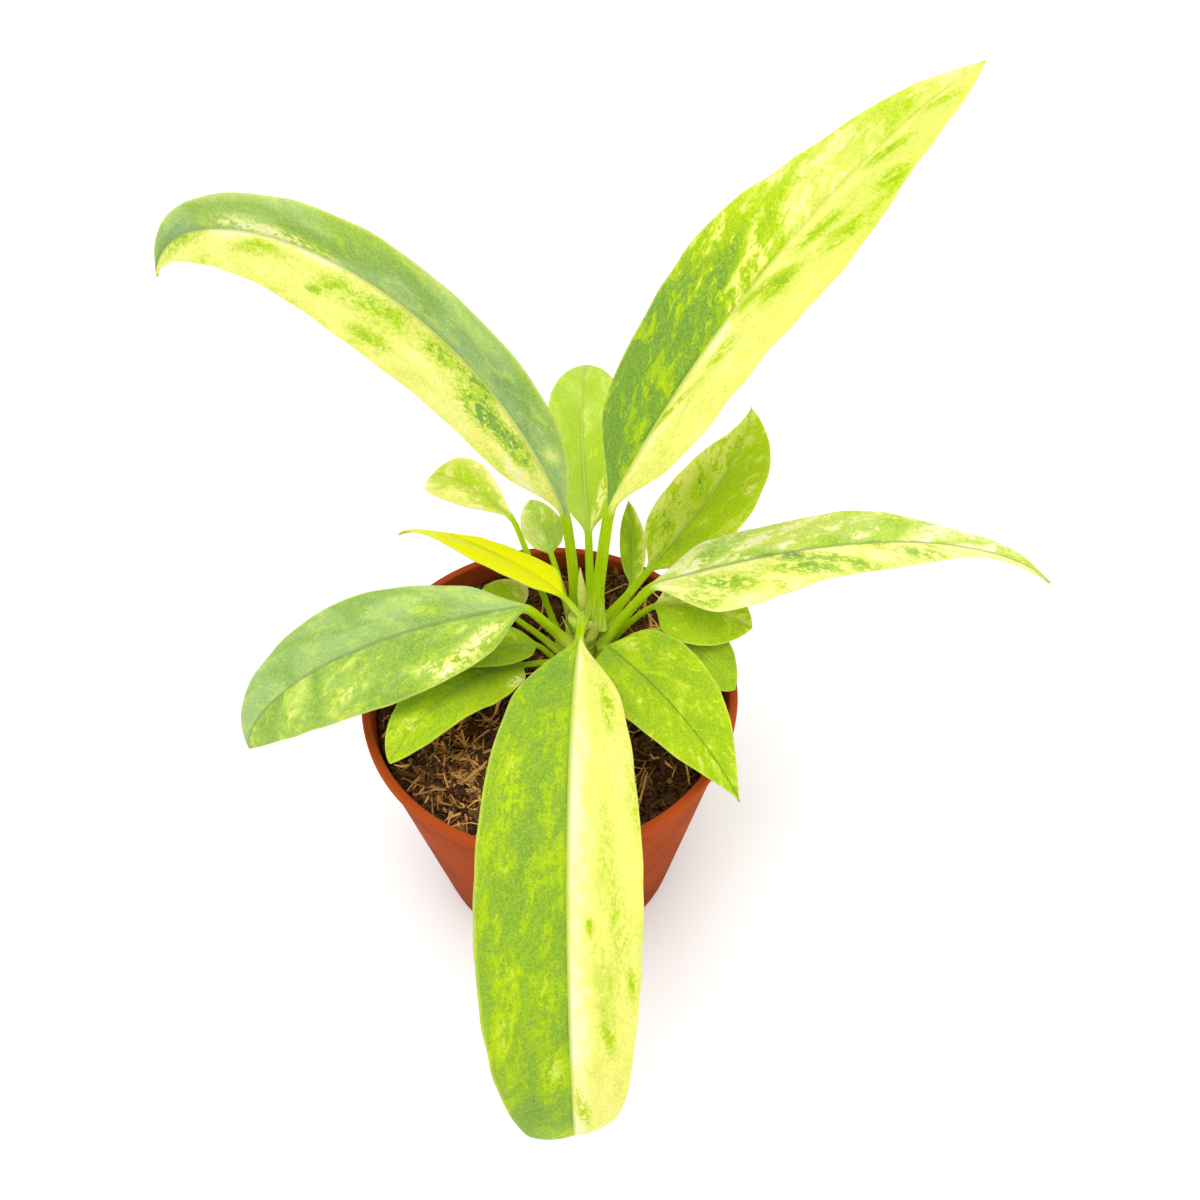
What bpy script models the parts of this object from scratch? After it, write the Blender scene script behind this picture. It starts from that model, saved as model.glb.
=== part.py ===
"""A young variegated anthurium in a round plastic nursery pot.

The origin is the centre of the pot's flat base, +Z is up, and -Y is the side that the long
front leaf hangs over. The constants and the table of leaves are in millimetres and degrees.
"""

from dataclasses import dataclass
from math import ceil, cos, pi, radians, sin

import bmesh
import bpy
import numpy as np

MM = 0.001

# The pot
POT_HEIGHT = 100.0
POT_RIM_RADIUS = 60.0
POT_NECK_RADIUS = 58.8
POT_BASE_RADIUS = 43.5
LIP_WIDTH = 2.8
LIP_HEIGHT = 3.5
LIP_ROUNDING = 0.5
WALL = 1.6
FLOOR = 2.4
FOOT_BEVEL = 1.2
POT_SIDES = 48
DRAIN_HOLES = 6
DRAIN_HOLE_RADIUS = 4.0
DRAIN_HOLE_CIRCLE = 29.0
DRAIN_HOLE_SIDES = 16

# The soil
GAP = 0.3
SOIL_LEVEL = 93.0
SOIL_RINGS = 9
SOIL_HUMP = 9.0
SOIL_HUMP_CENTRE = (24.0, 37.0)
SOIL_HUMP_RADIUS = 17.0

# The short stem that every leaf grows from
STEM_CENTRE = (10.5, 13.5)
STEM_TOP = 118.5
STEM_FOOT = 74.0
STEM_RADIUS = 6.0
STEM_TOP_RADIUS = 4.6
STEM_SIDES = 20
STEM_SHOULDER = 1.2
STEM_TAPER = 0.7
LEAF_SCARS = 4
SCAR_DEPTH = 0.25

# The pointed sheath round the newest bud, behind the middle of the stem's top
SHEATH_OUT = 3.4
SHEATH_HEIGHT = 119.0
SHEATH_LENGTH = 17.0
SHEATH_RADIUS = 1.7
SHEATH_TIP_RADIUS = 0.35
SHEATH_RISE = 84.0
SHEATH_HEADING = 110.0
SHEATH_SIDES = 8

# Every leaf
SEAT_DISTANCE = 7.8
BLADE_THICKNESS = 0.8
JOINT_LENGTH = 10.0
HOOK_START = 0.8
TIP_HALF_WIDTH = 0.7
STATION_SPACING = 9.0
FEWEST_BLADE_STEPS = 8
SPINE_POINTS = 240
ARC_STEPS = 12
SWEEP_POWER = 1.3
CLASP = 0.1
CLASP_LENGTH = 8.0
STALK_TAPER = 0.15
RIB_TAPER = 0.9
RIB_TIP_RADIUS = 0.25
RIB_SHARE = 0.3
RIDGE = 0.35
WAVE_SHIFT = 1.9

# Outlines of a blade: how slowly it widens from the stalk, and how slowly it narrows to its tip
BROAD = (0.6, 0.75)
LANCE = (0.7, 0.95)
DROP = (0.7, 1.2)
SPEAR = (0.4, 1.2)
SPOON = (1.1, 0.6)

# The ring that runs along a leaf: its place across the blade, -1 to 1, and the matching angle round
# the stalk. The first five are the upper face from left to right, and the rest the lower face back.
UPPER_COLUMNS = ((-1.0, 170), (-0.5, 130), (0.0, 90), (0.5, 50), (1.0, 10))
LOWER_COLUMNS = ((1.0, -10), (0.5, -45), (0.0, -68), (0.0, -90), (0.0, -112), (-0.5, -135), (-1.0, -170))
KEEL_SIDES = {7: 1.0, 8: 0.0, 9: -1.0}


@dataclass
class Leaf:
    """One leaf: a round stalk, a joint that bends, and a blade with a raised midrib.

    around, height, out: where its stalk sits, as a compass angle round the stem, a height above the
        pot's base and a distance from the stem's middle
    heading, rise: the compass angle and the climb with which the stalk sets off
    droop, late: how far the leaf bows down by its tip, and how late along it that happens
    sweep: how far it swings to its left by its tip
    bend, turn: how far down and how far to its left it bends where the stalk meets the blade
    roll, twist: how far its right side is tipped up, and how much more by its tip
    fold, curl: how steeply the halves rise from the midrib, and how far they level out again
    hook: how far the last fifth of the blade curls under
    skew, shift: how much wider the right half is than the left, and how much more so by the tip
    wave, waves: the height and the number of the ripples along its margins
    """

    name: str
    around: float
    height: float
    heading: float
    rise: float
    droop: float
    stalk: float
    blade: float
    width: float
    outline: tuple = BROAD
    out: float = SEAT_DISTANCE
    late: float = 1.5
    sweep: float = 0.0
    bend: float = 0.0
    turn: float = 0.0
    roll: float = 0.0
    twist: float = 0.0
    fold: float = 20.0
    curl: float = 25.0
    hook: float = 0.0
    skew: float = 0.0
    shift: float = 0.0
    wave: float = 0.4
    waves: float = 2.0
    stalk_radius: float = 1.4
    colour: tuple = (0.36, 0.56, 0.06)


LEAVES = (
    Leaf("leaf_front", -90, 121, -93.5, 35, 142, stalk=15, blade=195, width=45, out=4, late=1, sweep=10,
         roll=5, fold=8, hook=60, skew=0.1, wave=1.2, waves=3, stalk_radius=2.2, colour=(0.55, 0.68, 0.12)),
    Leaf("leaf_tall_right", 0, 119.5, 60, 80, 49, stalk=40, blade=163, width=49, outline=LANCE, out=4,
         bend=18, turn=-24, roll=8, skew=-0.05, shift=0.2, wave=1.2, waves=2.5, stalk_radius=2.5,
         colour=(0.55, 0.66, 0.12)),
    Leaf("leaf_tall_left", 106, 112.5, 124, 86, 135, stalk=40, blade=178, width=33, outline=LANCE,
         late=1.7, sweep=-8, bend=5, turn=38, roll=72, fold=27, curl=20, hook=15, skew=-0.06, wave=0.8,
         waves=2.5, stalk_radius=2.3, colour=(0.5, 0.64, 0.14)),
    Leaf("leaf_yellow", 180, 121, 140, 36, 50, stalk=6, blade=75, width=17.5, outline=SPEAR, out=2,
         bend=26, turn=5, skew=-0.4, shift=-0.55, roll=-18, twist=-10, fold=25, curl=30, hook=10,
         stalk_radius=1.5, colour=(0.8, 0.8, 0.02)),
    Leaf("leaf_low_right", -15, 111, 5, 60, 55, stalk=27, blade=132, width=29, outline=SPEAR, late=2.5,
         sweep=-12, bend=45, turn=5, fold=15, curl=30, hook=5, skew=-0.1, shift=-0.4, wave=1.2, waves=2.5,
         stalk_radius=2.2, colour=(0.52, 0.66, 0.2)),
    Leaf("leaf_low_left", 235, 113, 195, 61, 84, stalk=25, blade=104, width=37, late=2.5, bend=50,
         turn=5, roll=5, twist=25, fold=5, curl=35, hook=10, wave=0.8, stalk_radius=2.2,
         colour=(0.4, 0.6, 0.12)),
    Leaf("leaf_back_centre", 70, 111, 94, 55, 68, stalk=26, blade=79, width=28, sweep=-15, bend=15,
         turn=5, roll=-5, skew=0.15, wave=0.8, stalk_radius=1.8, colour=(0.45, 0.65, 0.08)),
    Leaf("leaf_back_right", 30, 107, 27, 61, 64, stalk=25, blade=75, width=31, outline=DROP, late=0.8,
         sweep=56, bend=5, roll=5, twist=5, fold=15, skew=0.05, shift=0.1, wave=0.8, stalk_radius=1.7,
         colour=(0.45, 0.6, 0.1)),
    Leaf("leaf_back_left", 150, 98, 121, 48, 48, stalk=45, blade=48, width=19, outline=SPOON, late=2.5,
         sweep=-5, bend=40, turn=15, roll=15, colour=(0.55, 0.62, 0.08)),
    Leaf("leaf_back_left_low", 115, 103, 110, 40, 40, stalk=26, blade=22, width=14),
    Leaf("leaf_back_narrow", 65, 103, 42, 22, 30, stalk=19, blade=37, width=9, outline=LANCE, sweep=8,
         turn=45, colour=(0.4, 0.55, 0.04)),
    Leaf("leaf_front_right", -45, 105, -60, 74, 68, stalk=9, blade=69, width=32, outline=DROP, sweep=5,
         bend=50, turn=5, roll=-7, twist=5, fold=25, curl=15, hook=5, wave=0.8, stalk_radius=1.8),
    Leaf("leaf_right_round", -20, 99, -12, 61, 80, stalk=28, blade=30, width=20, sweep=-5, bend=30,
         turn=-20, twist=-5, fold=15, colour=(0.4, 0.6, 0.04)),
    Leaf("leaf_right_small", 8, 102, 2, 61, 58, stalk=25, blade=32, width=27, sweep=-5, bend=26,
         turn=-15, roll=-5, twist=-5, fold=15, colour=(0.45, 0.62, 0.05)),
    Leaf("leaf_front_left", 225, 102, -159, 23, 45, stalk=15, blade=60, width=25, late=1.7, sweep=27,
         bend=-10, turn=15, roll=-5, hook=10, wave=0.8, colour=(0.42, 0.56, 0.02)),
    Leaf("leaf_left_small", 180, 100, 155, 36, 40, stalk=18, blade=15, width=20, bend=-10, turn=-20,
         roll=5, colour=(0.45, 0.62, 0.1)),
    Leaf("leaf_left_under", 205, 96.5, 195, 65, 35, stalk=16, blade=40, width=18, bend=30, turn=10,
         colour=(0.38, 0.56, 0.04)),
)


def clear_scene():
    for thing in list(bpy.data.objects):
        bpy.data.objects.remove(thing, do_unlink=True)


def material(name, colour, roughness, metallic=0.0):
    made = bpy.data.materials.new(name)
    made.use_nodes = True
    shader = made.node_tree.nodes["Principled BSDF"]
    shader.inputs["Base Color"].default_value = (*colour, 1.0)
    shader.inputs["Roughness"].default_value = roughness
    shader.inputs["Metallic"].default_value = metallic
    return made


def circle(radius, height, sides, centre=(0.0, 0.0)):
    angles = np.arange(sides) * 2 * pi / sides
    x = centre[0] + radius * np.cos(angles)
    y = centre[1] + radius * np.sin(angles)
    return np.stack([x, y, np.full(sides, height)], axis=-1)


def place(ring, points):
    for vert, point in zip(ring, points):
        vert.co = point * MM


def loft(stations):
    """A closed mesh through rings of equal count, its two ends filled. Returns it and its rings."""
    bm = bmesh.new()
    ring = bmesh.ops.create_circle(bm, segments=len(stations[0]), radius=1.0)["verts"]
    place(ring, stations[0])
    rings = [ring]
    edges = list(bm.edges)
    bmesh.ops.contextual_create(bm, geom=edges)
    for points in stations[1:]:
        grown = bmesh.ops.extrude_edge_only(bm, edges=edges)["geom"]
        fresh = {item for item in grown if isinstance(item, bmesh.types.BMVert)}
        ring = [next(e.other_vert(v) for e in v.link_edges if e.other_vert(v) in fresh) for v in ring]
        place(ring, points)
        rings.append(ring)
        edges = [item for item in grown if isinstance(item, bmesh.types.BMEdge)]
        edges = [edge for edge in edges if edge.verts[0] in fresh and edge.verts[1] in fresh]
    bmesh.ops.contextual_create(bm, geom=edges)
    bmesh.ops.recalc_face_normals(bm, faces=bm.faces)
    return bm, rings


def finish_solid(name, bm, finish, sharp_angle=40.0):
    mesh = bpy.data.meshes.new(name)
    bm.to_mesh(mesh)
    bm.free()
    mesh.materials.append(finish)
    mesh.shade_smooth()
    mesh.set_sharp_from_angle(angle=radians(sharp_angle))
    solid = bpy.data.objects.new(name, mesh)
    bpy.context.scene.collection.objects.link(solid)
    return solid


def pot_outer_radius(height):
    """The body's taper, from the foot to the underside of the lip."""
    body_height = POT_HEIGHT - LIP_HEIGHT
    return POT_BASE_RADIUS + (POT_NECK_RADIUS - POT_BASE_RADIUS) * height / body_height


def pot_inner_radius(height):
    return pot_outer_radius(height) - WALL


def build_pot():
    neck = POT_HEIGHT - LIP_HEIGHT
    inner_rim = POT_RIM_RADIUS - LIP_WIDTH
    profile = (
        (POT_BASE_RADIUS - FOOT_BEVEL, 0.0),
        (pot_outer_radius(FOOT_BEVEL), FOOT_BEVEL),
        (POT_NECK_RADIUS, neck),
        (POT_RIM_RADIUS, neck + LIP_ROUNDING),
        (POT_RIM_RADIUS, POT_HEIGHT - LIP_ROUNDING),
        (POT_RIM_RADIUS - LIP_ROUNDING, POT_HEIGHT),
        (inner_rim + LIP_ROUNDING, POT_HEIGHT),
        (inner_rim, POT_HEIGHT - LIP_ROUNDING),
        (pot_inner_radius(neck), neck),
        (pot_inner_radius(FLOOR + FOOT_BEVEL), FLOOR + FOOT_BEVEL),
        (pot_inner_radius(FLOOR) - FOOT_BEVEL, FLOOR),
    )
    bm, _ = loft([circle(radius, height, POT_SIDES) for radius, height in profile])
    pot = finish_solid("pot", bm, material("terracotta plastic", (0.45, 0.12, 0.05), 0.5), 25.0)
    for index in range(DRAIN_HOLES):
        cut_drain_hole(pot, 2 * pi * (index + 0.5) / DRAIN_HOLES)


def cut_drain_hole(pot, angle):
    centre = np.array([DRAIN_HOLE_CIRCLE * cos(angle), DRAIN_HOLE_CIRCLE * sin(angle), FLOOR / 2])
    radius = DRAIN_HOLE_RADIUS * MM
    bm = bmesh.new()
    bmesh.ops.create_cone(
        bm, cap_ends=True, segments=DRAIN_HOLE_SIDES, radius1=radius, radius2=radius, depth=3 * FLOOR * MM
    )
    bmesh.ops.translate(bm, verts=bm.verts, vec=centre * MM)
    mesh = bpy.data.meshes.new("drain hole")
    bm.to_mesh(mesh)
    bm.free()
    cutter = bpy.data.objects.new("drain hole", mesh)
    bpy.context.scene.collection.objects.link(cutter)
    cutter.hide_render = True
    cutter.display_type = "WIRE"
    cut = pot.modifiers.new("drain hole", "BOOLEAN")
    cut.operation = "DIFFERENCE"
    cut.solver = "EXACT"
    cut.object = cutter


def soil_height(x, y):
    """Loose compost: small lumps all over and one hump against the rim behind the plant."""
    lumps = 0.7 * np.sin(0.33 * x + 1.0) * np.cos(0.29 * y) + 0.5 * np.sin(0.61 * x - 0.47 * y)
    away = (x - SOIL_HUMP_CENTRE[0]) ** 2 + (y - SOIL_HUMP_CENTRE[1]) ** 2
    return SOIL_LEVEL + lumps + SOIL_HUMP * np.exp(-away / SOIL_HUMP_RADIUS**2)


def build_soil():
    bottom = FLOOR + GAP
    hole_radius = STEM_RADIUS + 2 * GAP
    stations = [
        circle(pot_inner_radius(bottom) - FOOT_BEVEL - 2 * GAP, bottom, POT_SIDES),
        circle(pot_inner_radius(bottom + FOOT_BEVEL) - 2 * GAP, bottom + FOOT_BEVEL, POT_SIDES),
    ]
    edge = circle(pot_inner_radius(SOIL_LEVEL) - 2 * GAP, 0.0, POT_SIDES)
    hole = circle(hole_radius, 0.0, POT_SIDES, STEM_CENTRE)
    for share in np.linspace(0.0, 1.0, SOIL_RINGS):
        points = edge + (hole - edge) * share
        points[:, 2] = soil_height(points[:, 0], points[:, 1])
        stations.append(points)
    stations.append(circle(hole_radius, STEM_FOOT - GAP, POT_SIDES, STEM_CENTRE))
    bm, _ = loft(stations)
    finish_solid("soil", bm, material("coir compost", (0.07, 0.035, 0.018), 0.95))


def build_stem():
    """A short stem, thicker at soil level, with a ring at each leaf scar."""
    heights = np.linspace(SOIL_LEVEL, STEM_TOP - STEM_SHOULDER, 2 * LEAF_SCARS + 1)
    stations = [circle(STEM_RADIUS - 1.0, STEM_FOOT, STEM_SIDES, STEM_CENTRE)]
    for index, height in enumerate(heights):
        share = index / (len(heights) - 1)
        radius = STEM_RADIUS + (STEM_TOP_RADIUS - STEM_RADIUS) * share**STEM_TAPER
        groove = SCAR_DEPTH if index % 2 else 0.0
        stations.append(circle(radius - groove, height, STEM_SIDES, STEM_CENTRE))
    stations.append(circle(STEM_TOP_RADIUS - STEM_SHOULDER, STEM_TOP, STEM_SIDES, STEM_CENTRE))
    bm, _ = loft(stations)
    finish_solid("stem", bm, material("stem", (0.42, 0.5, 0.12), 0.5))


def direction(rise, heading):
    """Unit vectors that climb at the angle rise and point along the compass angle heading."""
    level = np.cos(rise)
    return np.stack([level * np.cos(heading), level * np.sin(heading), np.sin(rise)], axis=-1)


def build_sheath():
    """The narrow pointed sheath that stands beside the newest leaf."""
    rise, heading = radians(SHEATH_RISE), radians(SHEATH_HEADING)
    along = direction(rise, heading)
    side = np.array([sin(heading), -cos(heading), 0.0])
    front = np.cross(side, along)
    foot = np.array([STEM_CENTRE[0], STEM_CENTRE[1] + SHEATH_OUT, SHEATH_HEIGHT])
    angles = np.arange(SHEATH_SIDES) * 2 * pi / SHEATH_SIDES
    section = np.outer(np.cos(angles), side) + np.outer(np.sin(angles), front)
    stations = []
    for share in np.linspace(0.0, 1.0, SHEATH_SIDES):
        radius = SHEATH_RADIUS * (1 - share) ** 0.6 + SHEATH_TIP_RADIUS
        stations.append(foot + along * SHEATH_LENGTH * share + radius * section)
    bm, _ = loft(stations)
    finish_solid("bud_sheath", bm, material("bud sheath", (0.6, 0.66, 0.3), 0.5))


def seat(leaf):
    around = radians(leaf.around)
    return np.array([
        STEM_CENTRE[0] + leaf.out * cos(around),
        STEM_CENTRE[1] + leaf.out * sin(around),
        leaf.height,
    ])


def half_width(leaf, along):
    """Half the blade's width, from 0 at the stalk, through its widest place, to 0 at the tip."""
    base, tip = leaf.outline
    widest = base / (base + tip)
    peak = widest**base * (1 - widest) ** tip
    return leaf.width / 2 * along**base * (1 - along) ** tip / peak


def spine(leaf):
    """Points and axes along the leaf: to its right, and up out of its upper face."""
    total = leaf.stalk + leaf.blade
    run = np.linspace(0.0, total, SPINE_POINTS)
    share = run / total
    joint = np.clip((run - leaf.stalk) / JOINT_LENGTH + 0.5, 0.0, 1.0)
    joint = joint * joint * (3 - 2 * joint)
    along = np.clip((run - leaf.stalk) / leaf.blade, 0.0, 1.0)
    hook = (np.clip(along - HOOK_START, 0.0, 1.0) / (1 - HOOK_START)) ** 1.5
    rise = np.radians(leaf.rise - leaf.droop * share**leaf.late - leaf.bend * joint - leaf.hook * hook)
    heading = np.radians(leaf.heading + leaf.sweep * share**SWEEP_POWER + leaf.turn * joint)
    forward = direction(rise, heading)
    steps = (forward[1:] + forward[:-1]) / 2 * (run[1] - run[0])
    points = seat(leaf) + np.vstack([np.zeros(3), np.cumsum(steps, axis=0)])
    level = np.stack([np.sin(heading), -np.cos(heading), np.zeros_like(heading)], axis=-1)
    upright = np.cross(level, forward)
    roll = np.radians(leaf.roll + leaf.twist * along)[:, None]
    right = level * np.cos(roll) + upright * np.sin(roll)
    up = upright * np.cos(roll) - level * np.sin(roll)
    return run, points, right, up


def across(leaf, lateral):
    """A half blade's section: how far out, how far up, and its slope there."""
    steps = (np.arange(ARC_STEPS) + 0.5) / ARC_STEPS * lateral
    slopes = np.radians(leaf.fold - leaf.curl * steps)
    return np.cos(slopes).mean() * lateral, np.sin(slopes).mean() * lateral, radians(leaf.fold - leaf.curl * lateral)


def stalk_ring(leaf, share, point, right, up):
    """A round stalk, a little wider where it clasps the stem."""
    clasp = 1 + CLASP * max(0.0, 1 - share * leaf.stalk / CLASP_LENGTH)
    radius = leaf.stalk_radius * clasp * (1 - STALK_TAPER * share)
    angles = np.radians([angle for _, angle in UPPER_COLUMNS + LOWER_COLUMNS])
    return point + radius * (np.outer(np.cos(angles), right) + np.outer(np.sin(angles), up))


def blade_ring(leaf, along, point, right, up):
    """The blade's section: a thin folded plate, with a low ridge above and a keel below its midrib."""
    rib = leaf.stalk_radius * (1 - STALK_TAPER) * (1 - along) ** RIB_TAPER + RIB_TIP_RADIUS
    half = max(half_width(leaf, along), TIP_HALF_WIDTH + rib * (1 - along))
    thick = BLADE_THICKNESS / 2
    envelope = (4 * along * (1 - along)) ** 0.5
    ring = []
    for index, (column, _) in enumerate(UPPER_COLUMNS + LOWER_COLUMNS):
        face = 1 if index < len(UPPER_COLUMNS) else -1
        side = np.sign(column)
        out, lift, slope = across(leaf, abs(column))
        reach = half * (1 + side * (leaf.skew + leaf.shift * (2 * along - 1)))
        phase = WAVE_SHIFT if side > 0 else 0.0
        ripple = leaf.wave * envelope * column**2 * sin(2 * pi * leaf.waves * along + phase)
        spot = point + right * side * reach * out + up * (reach * lift + ripple)
        if index in KEEL_SIDES:
            depth = thick + (rib if KEEL_SIDES[index] == 0 else 0.0)
            ring.append(spot + right * KEEL_SIDES[index] * min(rib, RIB_SHARE * half) - up * depth)
        elif column == 0:
            ring.append(spot + up * (thick + RIDGE * (1 - along)))
        else:
            ring.append(spot + face * thick * (up * cos(slope) - right * side * sin(slope)))
    return np.array(ring)


def places_along(leaf):
    """Shares of the stalk and of the blade, closer together at the blade's base and tip."""
    stalk_steps = max(2, ceil(leaf.stalk / STATION_SPACING))
    blade_steps = max(FEWEST_BLADE_STEPS, ceil(leaf.blade / STATION_SPACING))
    stalk_shares = np.linspace(0.0, 1.0, stalk_steps + 1)
    even = np.linspace(0.0, 1.0, blade_steps + 1)[1:]
    blade_shares = 0.45 * even + 0.55 * (1 - np.cos(pi * even)) / 2
    return stalk_shares, blade_shares


def split_alike(bm, rings):
    """Cuts the blade's upper and lower quads along matching diagonals, so that it keeps its thickness."""
    count = len(UPPER_COLUMNS) + len(LOWER_COLUMNS)
    for near, far in zip(rings[:-1], rings[1:]):
        for index in range(count):
            after = (index + 1) % count
            upper = index < len(UPPER_COLUMNS)
            ends = (near[index], far[after]) if upper else (near[after], far[index])
            bmesh.ops.connect_verts(bm, verts=list(ends))


def build_leaf(leaf):
    run, points, right, up = spine(leaf)
    stalk_shares, blade_shares = places_along(leaf)

    def frame_at(distance):
        sources = (points, right, up)
        return [np.array([np.interp(distance, run, values[:, axis]) for axis in range(3)]) for values in sources]

    stations = [stalk_ring(leaf, share, *frame_at(share * leaf.stalk)) for share in stalk_shares]
    for along in blade_shares:
        stations.append(blade_ring(leaf, along, *frame_at(leaf.stalk + along * leaf.blade)))
    bm, rings = loft(stations)
    split_alike(bm, rings)
    finish_solid(leaf.name, bm, material(leaf.name, leaf.colour, 0.45))


def main():
    clear_scene()
    build_pot()
    build_soil()
    build_stem()
    build_sheath()
    for leaf in LEAVES:
        build_leaf(leaf)


if __name__ == "__main__":
    main()
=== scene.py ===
"""Dresses a potted variegated anthurium: fine leaves, a plastic pot and coir compost."""

from dataclasses import dataclass
from math import ceil, cos, pi, radians, sin

import bmesh
import bpy
import numpy as np
from bpy.props import (
    CollectionProperty, FloatProperty, FloatVectorProperty, IntProperty, PointerProperty, StringProperty,
)
from mathutils import Euler, Matrix, Vector, noise


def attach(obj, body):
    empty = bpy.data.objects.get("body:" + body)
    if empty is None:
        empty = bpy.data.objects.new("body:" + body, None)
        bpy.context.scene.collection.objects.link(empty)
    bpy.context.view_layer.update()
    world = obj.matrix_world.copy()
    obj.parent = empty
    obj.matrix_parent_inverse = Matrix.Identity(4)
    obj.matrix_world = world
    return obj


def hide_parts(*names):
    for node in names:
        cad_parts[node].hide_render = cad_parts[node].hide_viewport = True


bl_info = {
    "name": "Potted anthurium",
    "version": (1, 0, 0),
    "blender": (4, 5, 0),
    "location": "View3D > Sidebar > Anthurium",
    "description": "Builds the leaves, pot and compost of a potted variegated anthurium",
    "category": "Add Mesh",
}

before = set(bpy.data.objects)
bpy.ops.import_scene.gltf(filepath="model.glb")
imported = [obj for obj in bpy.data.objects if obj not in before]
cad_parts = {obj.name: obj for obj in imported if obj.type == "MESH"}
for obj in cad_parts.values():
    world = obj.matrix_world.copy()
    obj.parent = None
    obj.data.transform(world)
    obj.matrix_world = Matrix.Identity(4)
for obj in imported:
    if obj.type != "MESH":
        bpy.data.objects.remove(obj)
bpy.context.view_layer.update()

MM = 0.001

# The pot
POT_HEIGHT = 100.0
POT_RIM_RADIUS = 60.0
POT_NECK_RADIUS = 58.8
POT_BASE_RADIUS = 43.5
LIP_WIDTH = 2.8
LIP_HEIGHT = 3.5
WALL = 1.6
FLOOR = 2.4
DRAIN_HOLES = 6
DRAIN_HOLE_RADIUS = 4.0
DRAIN_HOLE_CIRCLE = 29.0

# The compost
GAP = 0.3
SOIL_LEVEL = 93.0
SOIL_HUMP = 9.0
SOIL_HUMP_CENTRE = (24.0, 37.0)
SOIL_HUMP_RADIUS = 17.0
SOIL_EDGE = 56.0
MAT_CENTRE = (-28.0, -30.0)
MAT_SPREAD = 9.0

# The stem and the sheath of the newest bud
STEM_CENTRE = (10.5, 13.5)
STEM_TOP = 118.5
STEM_RADIUS = 6.0
STEM_TOP_RADIUS = 4.6
STEM_TAPER = 0.7
LEAF_SCARS = 7
SHEATH_OUT = 3.4
SHEATH_HEIGHT = 119.0
SHEATH_LENGTH = 17.0
SHEATH_RADIUS = 1.7
SHEATH_RISE = 84.0
SHEATH_HEADING = 110.0

# Every leaf
SEAT_DISTANCE = 7.8
ROOT_LENGTH = 4.0
JOINT_LENGTH = 10.0
WING_SHARE = 0.14
STALK_SLIMNESS = 0.8
CLASP_LENGTH = 16.0
CHANNEL = 0.45
HOOK_START = 0.8
SPINE_POINTS = 400
ARC_STEPS = 12
SWEEP_POWER = 1.3
STALK_TAPER = 0.15
RIB_TAPER = 0.9
RIB_TIP_RADIUS = 0.2
RIB_COLUMNS = 0.2
RIDGE = 0.35
WAVE_SHIFT = 1.9

# Outlines of a blade: how slowly it widens from the stalk, and how slowly it narrows to its tip
BROAD = (0.6, 0.75)
LANCE = (0.7, 0.95)
DROP = (0.7, 1.2)
SPEAR = (0.4, 1.2)
SPOON = (1.1, 0.6)


@dataclass
class Leaf:
    """One leaf's shape in millimetres and degrees, and how its two halves are coloured.

    Tissue runs from 0, deep green, to 1, cream-white. Pairs give the left half, then the right.
    left, right: each half's tissue, and how much it drifts
    marble: how much paler, or greener if below 0, the blotches in each half are
    edge, fade, core: how much paler each half grows to its margin, to the tip and beside the midrib
    patches: places across and along, their length and width, and how much paler they are
    lean: the angle at which the marbling runs outwards from the midrib
    painted_sheen: how much of a greyish painted sheen, standing for the bright surroundings reflected off the blade,
    each half has
    rib: how pale the midrib is; the lower it is, the more the midrib is darkened with painted shade, as in a groove
    """

    name: str
    around: float
    height: float
    heading: float
    rise: float
    droop: float
    stalk: float
    blade: float
    width: float
    outline: tuple = BROAD
    out: float = SEAT_DISTANCE
    late: float = 1.5
    sweep: float = 0.0
    bend: float = 0.0
    turn: float = 0.0
    roll: float = 0.0
    twist: float = 0.0
    fold: float = 20.0
    curl: float = 25.0
    hook: float = 0.0
    skew: float = 0.0
    shift: float = 0.0
    wave: float = 0.4
    waves: float = 2.0
    stalk_radius: float = 1.4
    slot: str = "green_leaf"
    left: tuple = (0.38, 0.08)
    right: tuple = (0.38, 0.08)
    marble: tuple = (0.12, 0.12)
    edge: tuple = (0.0, 0.0)
    fade: tuple = (0.0, 0.0)
    core: tuple = (0.0, 0.0)
    patches: tuple = ()
    lean: float = 16.0
    rib: float = 0.7
    # Painted sheen: how much each half is mixed with the greyish sheen colour
    painted_sheen: tuple = (0.0, 0.0)
    yellow: float = 0.0


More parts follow.
